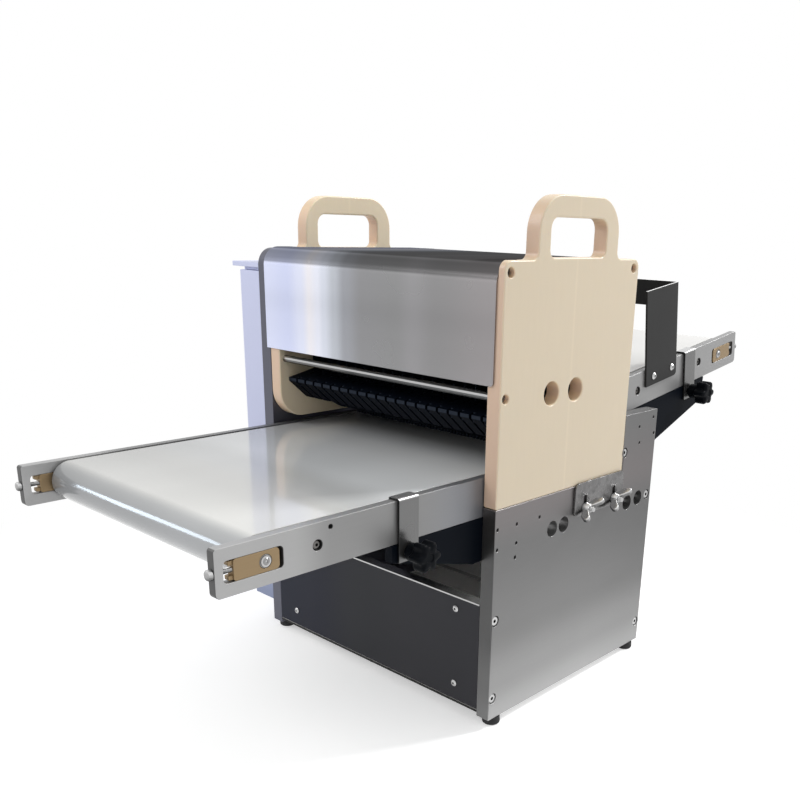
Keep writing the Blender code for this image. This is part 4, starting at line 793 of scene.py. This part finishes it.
def on_outfeed(s, h):
    return (OUTFEED_DRIVE[0] - s, OUTFEED_DRIVE[1] + h)


CONVEYORS = {"outfeed": (on_outfeed, OUTFEED_LENGTH), "infeed": (on_infeed, INFEED_LENGTH)}
BELT_OUTER, BELT_INNER = 0.0210, 0.0190
RAIL_START = -0.022
RAIL_PAST = 0.050
SLOT = ((-0.018, -0.010), (0.0413, 0.010))
BLOCK = ((-0.0143, -0.0097), (0.0317, 0.0097))
BLOCK_CORNERS = (0.0038, 0.0025, 0.0025, 0.0038)
PRONG_RISE = 0.0065
RAIL_SCREWS = {"outfeed": [(-0.381, 0.262)], "infeed": [(0.1319, 0.3428), (0.2831, 0.3661)]}
RAIL_SCREW_HOLE, RAIL_SCREW_SUNK = 0.0053, 0.0022
RAIL_HOLES = {"outfeed": [(-0.366, 0.276)], "infeed": []}
RAIL_HOLE = 0.0024


def conveyor_frame(name):
    """Takes X, way along the belt and height over its axis into the machine's frame."""
    along, _ = CONVEYORS[name]
    start = Vector((0.0, *along(0.0, 0.0)))
    run = Vector((0.0, *along(1.0, 0.0))) - start
    rise = Vector((0.0, *along(0.0, 1.0))) - start
    turn = Matrix((UNIT["X"], run, rise)).transposed().to_4x4()
    return Matrix.Translation(start) @ turn


def end_outline(name, low, high, radii, steps):
    """A rounded rectangle placed from the end roller's axis."""
    along, length = CONVEYORS[name]
    corners = rectangle((length + low[0], low[1]), (length + high[0], high[1]))
    return rounded([(*along(s, h), radius) for (s, h), radius in zip(corners, radii)], steps)


def build_belt(name):
    along, length = CONVEYORS[name]
    loops = []
    for radius in (BELT_OUTER, BELT_INNER):
        loop = arc((0.0, 0.0), radius, 90, 270, 24) + arc((length, 0.0), radius, -90, 90, 24)
        loops.append([along(s, h) for s, h in loop])
    belt = prism("X", loops[0], -BELT_HALF, BELT_HALF, 0.0004, [loops[1]])
    piece(f"{name}_belt_surface", belt, BELT, "frame", (f"{name}_belt",))


def build_conveyor(name):
    build_belt(name)
    along, length = CONVEYORS[name]
    corners = rectangle((RAIL_START, -RAIL_HALF), (length + RAIL_PAST, RAIL_HALF))
    outline = rounded([(*along(s, h), r) for (s, h), r in zip(corners, (0.0, 0.005, 0.003, 0.0))], 6)
    holes = [end_outline(name, *SLOT, [0.004] * 4, 6), circle(along(0.0, 0.0), SHAFT_HOLE)]
    holes += [circle(place, RAIL_HOLE, 16) for place in RAIL_HOLES[name]]
    holes += [circle(place, RAIL_SCREW_HOLE) for place in RAIL_SCREWS[name]]
    for side, low, high, way in (("right", RAIL_IN, RAIL_OUT, 1), ("left", -RAIL_OUT, -RAIL_IN, -1)):
        node = f"{name}_rail_{side}"
        toward = "+X" if way > 0 else "-X"
        rail = prism("X", outline, low, high, 0.0006, holes)
        piece(f"{node}_milled", rail, RAIL_METAL, "frame", (node,))
        build_block(name, side, low, high)
        build_shaft_end(name, side, way, toward)
        build_tension_screw(name, side, (low + high) / 2)
        places = [(way * (RAIL_OUT - RAIL_SCREW_SUNK), *place) for place in RAIL_SCREWS[name]]
        screws(f"{node}_screws", "frame", places, toward, RAIL_SCREW, SUNK_STEEL)


def build_block(name, side, low, high):
    """The brass block in the rail's slot, forked towards the tension screw."""
    along, length = CONVEYORS[name]
    bore = circle(along(length, 0.0), SHAFT_HOLE)
    meshes = [prism("X", end_outline(name, *BLOCK, BLOCK_CORNERS, 4), low, high, 0.0005, [bore])]
    for rise in (-PRONG_RISE, PRONG_RISE):
        tip = end_outline(name, (0.0300, rise - 0.0020), (0.0360, rise + 0.0020), [0.0008] * 4, 3)
        meshes.append(prism("X", tip, low + 0.0015, high - 0.0015, 0.0005))
    node = f"{name}_block_{side}"
    piece(f"{node}_milled", joined(meshes), BRASS, f"{name}_tension", (node,))


def build_shaft_end(name, side, way, toward):
    along, length = CONVEYORS[name]
    centre = along(length, 0.0)
    face = way * (RAIL_OUT + 0.0002)
    crown = face + way * 0.0006
    profile = [(0.0052, face - way * 0.004), (0.0052, face), (0.0049, face + way * 0.0004), (0.0040, crown)]
    piece(f"{name}_shaft_end_{side}", turned(profile, centre, "X", 32), BRIGHT_STEEL, f"{name}_end")
    head = facing(socket_screw(SHAFT_SCREW), toward, (crown, *centre))
    piece(f"{name}_shaft_screw_{side}", head, ROLLER_METAL, f"{name}_end")


TENSION_TURNS = 24
TENSION_PITCH = 0.0008


def build_tension_screw(name, side, x):
    """The threaded rod in the slot and its domed head on the end of the rail."""
    along, length = CONVEYORS[name]
    thread = [(0.0024, length + 0.0300)]
    for k in range(TENSION_TURNS):
        root = length + 0.0305 + TENSION_PITCH * k
        thread += [(0.0021, root), (0.0025, root + TENSION_PITCH / 2)]
    end = length + RAIL_PAST
    thread.append((0.0025, end))
    head = [
        (0.0044, end + 0.0002), (0.0049, end + 0.0008), (0.0049, end + 0.0030), (0.0042, end + 0.0042),
        (0.0028, end + 0.0047), (0.0012, end + 0.0047),
    ]
    meshes = [turned(thread, axis="Z", sides=16), turned(head, axis="Z", sides=24)]
    start = Vector((x, *along(0.0, 0.0)))
    run = Vector((0.0, *along(1.0, 0.0))) - Vector((0.0, *along(0.0, 0.0)))
    turn = UNIT["Z"].rotation_difference(run).to_matrix().to_4x4()
    mesh = moved(joined(meshes), Matrix.Translation(start) @ turn)
    node = f"{name}_tension_screw_{side}"
    piece(f"{node}_threaded", mesh, CAST_STEEL, "frame", (node,))


# Clamps, arms and guard

CLAMPS = {"outfeed": 0.2500, "infeed": 0.2050}
CLAMP_DROP = -0.03085
KNOB_FROM = 0.172
KNOB_RADIUS = 0.016
LOBE, LOBES = 0.0022, 6
LOBE_SQUARENESS = 0.75
KNOB_SIDES = 96


def knob_mesh(stud):
    """Rings of (radius, share of the lobes, reach) up the stud, the boss and the grip."""
    mean = KNOB_RADIUS - LOBE
    rings = (
        (0.0030, 0.0, 0.0), (0.0030, 0.0, 0.0145), (0.0085, 0.0, 0.0146), (0.0092, 0.0, 0.0155),
        (0.0095, 0.0, 0.0240), (0.0105, 0.2, 0.0262), (mean - 0.0012, 0.9, 0.0270), (mean, 1.0, 0.0285),
        (mean, 1.0, 0.0395), (mean - 0.0010, 1.0, 0.0412), (mean - 0.0028, 0.9, 0.0422),
        (mean - 0.006, 0.6, 0.0425), (0.0050, 0.0, 0.0423), (0.0045, 0.0, 0.0415), (0.0010, 0.0, 0.0414),
    )
    waves = [math.cos(LOBES * 2 * math.pi * i / KNOB_SIDES) for i in range(KNOB_SIDES)]
    flat = [math.copysign(abs(wave) ** LOBE_SQUARENESS, wave) for wave in waves]
    sections = [[radius + LOBE * share * wave for wave in flat] for radius, share, _ in rings]
    return lofted(sections, [KNOB_FROM + reach for _, _, reach in rings], stud)


STRAP_SHEET = 0.0022
STRAP_HALF = 0.0132
STRAP_BEND = 0.0028
STRAP_DROP = 0.0655
STRAP_LIP = 0.0050
STRAP_HOLE = 0.0033


def build_strap(name, place):
    """The strap's section lies across the rail. Its outer bend is wide, as a folded strip's is."""
    top = RAIL_HALF + GAP + STRAP_SHEET
    outer = INSIDE + GAP + STRAP_SHEET
    lip = RAIL_IN - GAP - STRAP_SHEET
    section = rounded([
        (lip, top - STRAP_LIP, 0.0004),
        (lip + STRAP_SHEET, top - STRAP_LIP, 0.0004),
        (lip + STRAP_SHEET, top - STRAP_SHEET, 0.0004),
        (outer - STRAP_SHEET, top - STRAP_SHEET, 0.0006),
        (outer - STRAP_SHEET, top - STRAP_DROP, 0.0004),
        (outer, top - STRAP_DROP, 0.0006),
        (outer, top, STRAP_BEND),
        (lip, top, 0.0020),
    ], 6)
    mesh = prism("Y", section, place - STRAP_HALF, place + STRAP_HALF, 0.0003)
    drill = prism("X", circle((place, CLAMP_DROP), STRAP_HOLE, 24), INSIDE - 0.002, outer + 0.002)
    node = f"{name}_strap_right"
    mesh = moved(carved(mesh, drill), conveyor_frame(name))
    piece(f"{node}_bent", mesh, STRAP_STEEL, "frame", (node,))


def build_clamps():
    for name, place in CLAMPS.items():
        along, _ = CONVEYORS[name]
        body = f"{name}_knob_right"
        knob = knob_mesh(along(place, CLAMP_DROP))
        piece(f"{body}_moulded", knob, BLACK_PLASTIC, body, (body,), 50)
        build_strap(name, place)
        for side in ("left", "right"):
            arm = f"{name}_arm_{side}"
            softened(arm, f"{arm}_painted", 0.0008, ARM_PAINT, "frame")


GUARD_SHEET = 0.0025
GUARD_OUT = RAIL_OUT + GAP + GUARD_SHEET
GUARD_ENDS = {"left": 0.121, "right": 0.097}
GUARD_FAR = 0.1717
GUARD_HEIGHT = 0.1195
GUARD_WALL_BOTTOM = 0.087
GUARD_OVER_RAIL = 0.0222
GUARD_BEND = 0.0030
GUARD_CORNER = 0.009
GUARD_SCREWS = ((0.163, 0.359), (0.206, 0.3665))


def build_guard():
    """One sheet bent to a U, its back cut away over the belt, its lower far corners rounded."""
    inside = GUARD_OUT - GUARD_SHEET
    wall = GUARD_FAR - GUARD_SHEET
    bend = GUARD_BEND - GUARD_SHEET
    left, right = GUARD_ENDS["left"], GUARD_ENDS["right"]
    bent = rounded([
        (-GUARD_OUT, left, 0.0), (-inside, left, 0.0), (-inside, wall, bend), (inside, wall, bend),
        (inside, right, 0.0), (GUARD_OUT, right, 0.0), (GUARD_OUT, GUARD_FAR, GUARD_BEND),
        (-GUARD_OUT, GUARD_FAR, GUARD_BEND),
    ], 5)
    sheet = prism("Z", bent, 0.0, GUARD_HEIGHT, 0.0002, steps=1)
    narrow = inside - 0.004
    mouth = [
        (-inside, -OVERCUT), (inside, -OVERCUT), (inside, GUARD_OVER_RAIL), (narrow, GUARD_OVER_RAIL),
        (narrow, GUARD_WALL_BOTTOM), (-narrow, GUARD_WALL_BOTTOM), (-narrow, GUARD_OVER_RAIL),
        (-inside, GUARD_OVER_RAIL),
    ]
    opening = prism("Y", mouth, wall - OVERCUT, GUARD_FAR + OVERCUT)
    corner = arc((GUARD_FAR - GUARD_CORNER, GUARD_CORNER), GUARD_CORNER, -90, 0, 8)
    corner.append((GUARD_FAR + OVERCUT, -OVERCUT))
    nip = prism("X", corner, -GUARD_OUT - OVERCUT, GUARD_OUT + OVERCUT)
    mesh = moved(carved(sheet, opening, nip), conveyor_frame("infeed"))
    piece("infeed_guard_bent", mesh, GUARD_STEEL, "frame", ("infeed_guard",))
    screws("guard_screws", "frame", [(GUARD_OUT, y, z) for y, z in GUARD_SCREWS], "+X", GUARD_SCREW)


RETAINER_LOW, RETAINER_HIGH = (-0.020, 0.2135), (0.080, 0.2535)
RETAINER_TRAVEL = 0.012
RETAINER_SLOT = 0.0033
RETAINER_FACE = OUTSIDE + GAP + 0.003
WING_TURN = math.radians(121)
WING_HALF = 0.0029


def build_retainer():
    outline = rounded([(y, z, 0.006) for y, z in rectangle(RETAINER_LOW, RETAINER_HIGH)], 8)
    slots = []
    for y, z in STUD_PLACES.values():
        foot = arc((y, z), RETAINER_SLOT, 180, 360, 10)
        slots.append(foot + arc((y, z + RETAINER_TRAVEL), RETAINER_SLOT, 0, 180, 10))
    plate = prism("X", outline, OUTSIDE + GAP, RETAINER_FACE, 0.0006, slots)
    piece("retainer_plate_brushed", plate, RETAINER_STEEL, "retainer", ("retainer_plate",))
    for along, place in STUD_PLACES.items():
        build_wing_nut(f"wing_nut_{along}", place)


def build_wing_nut(body, centre):
    """A hub and two wings, whose outline runs out from the axis and up from the nut's face."""
    start = RETAINER_FACE + GAP
    profile = [
        (0.0033, start + 0.0001), (0.0066, start), (0.0070, start + 0.0006), (0.0062, start + 0.0040),
        (0.0052, start + 0.0072), (0.0046, start + 0.0080), (0.0033, start + 0.0080),
    ]
    hub = turned(profile, centre, "X", 32)
    wings = []
    outline = rounded([
        (0.0030, 0.0010, 0.0), (0.0070, 0.0008, 0.001), (0.0162, 0.0048, 0.003), (0.0202, 0.0112, 0.003),
        (0.0190, 0.0168, 0.003), (0.0128, 0.0158, 0.003), (0.0030, 0.0076, 0.0),
    ], 5)
    place = Matrix.Translation((0, *centre)) @ Matrix.Rotation(WING_TURN, 4, "X")
    for way in (-1, 1):
        side = [(start + up, way * out) for out, up in outline]
        wings.append(shaped(prism("Y", side, -WING_HALF, WING_HALF, 0.0018, steps=4), place))
    piece(f"{body}_cast", joined([hub, *wings]), CAST_STEEL, body, (body,), 50)


# The cassette. Its near plate stands on the near steel plate, its far plate hangs inside the far one

CASSETTE_TOP = 0.503
CASSETTE_REAR = 0.080
CASSETTE_BEVEL = 0.0018
HANDLE_FRONT, HANDLE_REAR = -0.108, 0.034
HANDLE_RISE = 0.0635
HANDLE_CORNER, HANDLE_FLARE = 0.038, 0.008
HANDLE_HOLE = ((-0.0886, 0.002), (0.0107, 0.0415))
HANDLE_HOLE_CORNERS = (0.008, 0.008, 0.012, 0.012)
FAR_SHIFT = -0.004
FAR_OUT, FAR_IN = -0.1817, -0.1640
FAR_BOTTOM = 0.292
FAR_STEP = (0.022, 0.3665)
SIGHT_SPREAD, SIGHT_BORE = 0.02175, 0.013
JOURNAL_BORE = 0.0093
CHANNEL_HALF = 0.0099
CHANNEL_FLOOR = -0.1748
ROD_ENDS = ((-0.151, 0.3675), (-0.150, 0.4916), (0.070, 0.493))
COVER_INSIDE = 0.0202
REBATE_REAR = -0.1217


def handle_hole(plate_top, shift=0.0):
    (front, sill), (rear, rise) = HANDLE_HOLE
    corners = rectangle((front + shift, plate_top + sill), (rear + shift, plate_top + rise))
    return rounded([(y, z, radius) for (y, z), radius in zip(corners, HANDLE_HOLE_CORNERS)], 10)


def cassette_outline(lower, plate_top, shift=0.0):
    """A plate's lower corners, then its handle from rear to front."""
    top = plate_top + HANDLE_RISE
    return rounded([
        *lower,
        (CASSETTE_REAR, plate_top, 0.010),
        (HANDLE_REAR + shift, plate_top, HANDLE_FLARE),
        (HANDLE_REAR + shift, top, HANDLE_CORNER),
        (HANDLE_FRONT + shift, top, HANDLE_CORNER),
        (HANDLE_FRONT + shift, plate_top, HANDLE_FLARE),
    ], 12)


def cover_rebate():
    """What the near plate gives up at its upper front corner, so that the cover lies in it."""
    inner = arc(COVER_CORNER, COVER_INSIDE, 180, 90, 16)
    outer = arc(COVER_CORNER, COVER_INSIDE + 0.010, 90, 180, 16)
    under = [(outer[-1][0], COVER_BOTTOM - GAP), (inner[0][0], COVER_BOTTOM - GAP)]
    over = [(REBATE_REAR, inner[-1][1]), (REBATE_REAR, outer[0][1])]
    return prism("X", inner + over + outer + under, INSIDE - OVERCUT, COVER_RIGHT + GAP)


def build_near_cassette_plate():
    bores = [circle((KNIFE_AXIS[0] + way * SIGHT_SPREAD, KNIFE_AXIS[1]), SIGHT_BORE, 40) for way in (-1, 1)]
    bottom = NEAR_TOP + GAP
    lower = [(FRONT, CASSETTE_TOP, 0.010), (FRONT, bottom, 0.003), (CASSETTE_REAR, bottom, 0.003)]
    outline = cassette_outline(lower, CASSETTE_TOP)
    plate = prism("X", outline, INSIDE, OUTSIDE, CASSETTE_BEVEL, [handle_hole(CASSETTE_TOP), *bores], 4)
    pocket = [(0.005, COVER_RIGHT), (0.005, 0.1985), (0.0055, 0.1995), (0.0064, 0.2001), (0.0064, 0.203)]
    pockets = [turned(pocket, place, "X", 32) for place in ROD_ENDS]
    mesh = carved(plate, cover_rebate(), *pockets)
    piece("cassette_plate_right_milled", mesh, NYLON, "cassette", ("cassette_plate_right",))
    places = [(COVER_RIGHT, y, z) for y, z in ROD_ENDS]
    screws("tie_rod_screws", "cassette", places, "+X", ROD_SCREW, SUNK_STEEL)


def build_far_cassette_plate():
    step_y, step_z = FAR_STEP
    lower = [
        (FRONT, FAR_TOP, 0.020), (FRONT, FAR_BOTTOM, 0.035), (step_y, FAR_BOTTOM, 0.003), (step_y, step_z, 0.006),
        (CASSETTE_REAR, step_z, 0.003),
    ]
    outline = cassette_outline(lower, FAR_TOP, FAR_SHIFT)
    holes = [handle_hole(FAR_TOP, FAR_SHIFT), circle(KNIFE_AXIS, JOURNAL_BORE)]
    plate = prism("X", outline, FAR_OUT, FAR_IN, CASSETTE_BEVEL, holes, 4)
    foot = FAR_BOTTOM - 0.002
    channel = arc(KNIFE_AXIS, CHANNEL_HALF, 0, 180, 12)
    channel += [(KNIFE_AXIS[0] - CHANNEL_HALF, foot), (KNIFE_AXIS[0] + CHANNEL_HALF, foot)]
    mesh = carved(plate, prism("X", channel, -0.183, CHANNEL_FLOOR))
    piece("cassette_plate_left_milled", mesh, NYLON, "cassette", ("cassette_plate_left",))


def build_cover():
    low, high = (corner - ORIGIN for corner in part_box("knife_cover"))
    end = high.x - 0.0008
    past = high.x + OVERCUT
    radius = 0.004
    corner = arc((end - radius, low.z + radius), radius, -90, 0, 8) + [
        (end, high.z + OVERCUT), (past, high.z + OVERCUT), (past, low.z - OVERCUT), (end - radius, low.z - OVERCUT),
    ]
    trim = prism("Y", corner, low.y - OVERCUT, high.y + OVERCUT)
    cover = carved(softened_mesh("knife_cover", 0.0004), trim)
    piece("knife_cover_bent", cover, COVER_STEEL, "cassette", ("knife_cover",))
    set_material("exit_comb", COMB_PLASTIC)
    set_material("cutting_bed", COMB_PLASTIC)
    for node in ("tie_rod_front", "tie_rod_top_front", "tie_rod_top_rear"):
        set_material(node, ROD_STEEL)


BLADE_COUNT, BLADE_PITCH = 20, 0.0164
BLADE_RADIUS, GRIND_FROM = 0.0690, 0.0655
BLADE_HALF, EDGE_HALF = 0.0005, 0.0001
SPACER_RADIUS, KNIFE_BORE = 0.0165, 0.0130
KNIFE_END_GAP = 0.0015


def build_knife():
    """Blades with a ground edge on both sides, and their spacers."""
    left = FAR_IN + GAP
    right = INSIDE - GAP
    first = (left + right) / 2 - BLADE_PITCH * (BLADE_COUNT - 1) / 2
    profile = [(KNIFE_BORE, left + KNIFE_END_GAP), (SPACER_RADIUS, left + KNIFE_END_GAP)]
    for k in range(BLADE_COUNT):
        x = first + BLADE_PITCH * k
        profile += [
            (SPACER_RADIUS, x - BLADE_HALF), (GRIND_FROM, x - BLADE_HALF), (BLADE_RADIUS, x - EDGE_HALF),
            (BLADE_RADIUS, x + EDGE_HALF), (GRIND_FROM, x + BLADE_HALF), (SPACER_RADIUS, x + BLADE_HALF),
        ]
    profile += [(SPACER_RADIUS, right - KNIFE_END_GAP), (KNIFE_BORE, right - KNIFE_END_GAP)]
    stack = turned(profile, KNIFE_AXIS, "X", 72)
    piece("knife_stack_ground", stack, KNIFE_METAL, "knife", ("knife_stack",), 20)
    set_material("knife_shaft", KNIFE_METAL)


# The drive side

CASE_WALL = -0.240
BUTTON_Y = -0.110
BUTTONS = {
    "start_button": (0.400, GREEN_PLASTIC, "start_green"),
    "stop_button": (0.350, RED_PLASTIC, "stop_red"),
}


def build_button(body, z, material, slot):
    wall = CASE_WALL
    centre = (BUTTON_Y, z)
    profile = [
        (0.0040, wall - 0.0090), (0.0085, wall - 0.0093), (0.0100, wall - 0.0092), (0.0108, wall - 0.0086),
        (0.0110, wall - 0.0078), (0.0110, wall - 0.0036), (0.0075, wall - 0.0036), (0.0075, wall + 0.005),
    ]
    piece(f"{body}_cap", turned(profile, centre), material, body, (body,))
    hole = circle(centre, 0.0112, 48)
    ring = prism("X", circle(centre, 0.0145, 48), wall - 0.0026, wall - 0.0001, 0.0005, [hole])
    piece(f"{body}_collar", ring, BRIGHT_STEEL, "frame")


def build_drive_side():
    for node in ("drive_cover", "drive_cover_lid"):
        softened(node, f"{node}_folded", 0.0010, CASE_PAINT, "frame", 3)
    for body, look in BUTTONS.items():
        build_button(body, *look)
    for node in ("outfeed_gear", "infeed_gear", "knife_drive_gear", "motor_pinion"):
        set_material(node, GEAR_METAL)
    for name in CONVEYORS:
        set_material(f"{name}_slider_bed", INNER_STEEL)
        set_material(f"{name}_drive_roller", ROLLER_METAL)
        set_material(f"{name}_end_roller", ROLLER_METAL)


# Floor, lamps and world. These stand in the row's frame

FLOOR_HALF = 12.0
FLOOR_COLOUR = (0.85, 0.85, 0.85, 1.0)
FLOOR_GLOW = 0.45
FADE_FROM, FADE_TO = 0.3, 0.9
WORLD_LIGHT = 0.62
WINDOW_PLACE = Vector((-1.25, -1.22, 0.48))
WINDOW_TARGET = Vector((0.02, -0.455, 0.27))
WINDOW_LEAN = Vector((0.375, -0.125, 0.26))
WINDOW_SIZE = (0.5, 0.24)
WINDOW_ENERGY = 2.4
WINDOW_BLUE = (0.74, 0.87, 1.0)


def seen_directly(tree):
    """1 for what the camera, a mirror or a glass sees, 0 for the light that falls on things."""
    path = add(tree, "LightPath")
    level = path.outputs["Is Camera Ray"]
    for kind in ("Is Glossy Ray", "Is Transmission Ray"):
        level = add(tree, "Math", {"operation": "MAXIMUM"}, i0=level, i1=path.outputs[kind]).outputs[0]
    return level


def floor_material():
    """A pale floor that turns to plain white away from the machine and keeps its shadow."""
    made = bpy.data.materials.new("floor")
    made.use_nodes = True
    tree = made.node_tree
    tree.nodes.clear()
    seen = seen_directly(tree)
    place = add(tree, "TexCoord").outputs["Object"]
    distance = add(tree, "VectorMath", {"operation": "LENGTH"}, Vector=place).outputs["Value"]
    smooth = {"interpolation_type": "SMOOTHSTEP"}
    fade = add(tree, "MapRange", smooth, Value=distance, From_Min=FADE_FROM, From_Max=FADE_TO)
    share = add(tree, "Math", {"operation": "MULTIPLY"}, i0=fade.outputs["Result"], i1=seen).outputs[0]
    lift = add(tree, "Math", {"operation": "MULTIPLY"}, i0=seen, i1=FLOOR_GLOW).outputs[0]
    matt = add(tree, "BsdfDiffuse", None, Color=FLOOR_COLOUR).outputs[0]
    glow = add(tree, "Emission", None, Color=WHITE, Strength=lift).outputs[0]
    white = add(tree, "Emission", None, Color=WHITE, Strength=1.0).outputs[0]
    near = add(tree, "AddShader", None, i0=matt, i1=glow).outputs[0]
    surface = add(tree, "MixShader", None, i0=share, i1=near, i2=white).outputs[0]
    output = add(tree, "OutputMaterial")
    tree.links.new(surface, output.inputs["Surface"])
    return made


def build_stage():
    mesh = bpy.data.meshes.new("floor")
    bm = bmesh.new()
    bmesh.ops.create_grid(bm, x_segments=1, y_segments=1, size=FLOOR_HALF)
    bm.to_mesh(mesh)
    bm.free()
    floor = bpy.data.objects.new("floor", mesh)
    bpy.context.scene.collection.objects.link(floor)
    mesh.materials.append(floor_material())


def area_lamp(name, place, target, size, energy):
    data = bpy.data.lights.new(name, "AREA")
    data.energy = energy
    data.size = size
    lamp = bpy.data.objects.new(name, data)
    direction = Vector(target) - Vector(place)
    lamp.rotation_euler = direction.to_track_quat("-Z", "Y").to_euler()
    lamp.location = place
    bpy.context.scene.collection.objects.link(lamp)


def window_lamp():
    """The strip that shows in the outfeed belt's front roll. It reaches nothing else."""
    across = WINDOW_LEAN.normalized()
    ahead = (WINDOW_TARGET - WINDOW_PLACE).normalized()
    up = across.cross(ahead).normalized()
    back = across.cross(up)
    data = bpy.data.lights.new("window", "AREA")
    data.shape = "RECTANGLE"
    data.size, data.size_y = WINDOW_SIZE
    data.energy = WINDOW_ENERGY
    data.color = WINDOW_BLUE
    lamp = bpy.data.objects.new("window", data)
    lamp.matrix_world = Matrix.Translation(WINDOW_PLACE) @ Matrix((across, up, back)).transposed().to_4x4()
    lamp.visible_camera = False
    lamp.visible_diffuse = False
    lit = bpy.data.collections.new("lit by the window")
    lit.objects.link(bpy.data.objects["outfeed_belt_surface"])
    lamp.light_linking.receiver_collection = lit
    bpy.context.scene.collection.objects.link(lamp)


def build_world():
    world = bpy.data.worlds.new("studio")
    bpy.context.scene.world = world
    world.use_nodes = True
    tree = world.node_tree
    tree.nodes.clear()
    strength = spread(tree, seen_directly(tree), 0.0, 1.0, WORLD_LIGHT)
    background = add(tree, "Background", None, Color=WHITE, Strength=strength)
    output = add(tree, "OutputWorld")
    tree.links.new(background.outputs[0], output.inputs[0])


add_camera()
build_near_plate()
build_studs()
build_far_plate()
build_panels()
build_feet()
for conveyor in CONVEYORS:
    build_conveyor(conveyor)
build_clamps()
build_guard()
build_retainer()
build_near_cassette_plate()
build_far_cassette_plate()
build_cover()
build_knife()
build_drive_side()
build_stage()
build_world()
area_lamp("front", place=(-1.4, -2.2, 2.4), target=(0.0, 0.0, 0.3), size=1.6, energy=30)
area_lamp("key", place=(1.1, 2.1, 2.3), target=(0.1, 0.0, 0.3), size=0.5, energy=60)
window_lamp()
bpy.context.scene.view_settings.view_transform = "Standard"
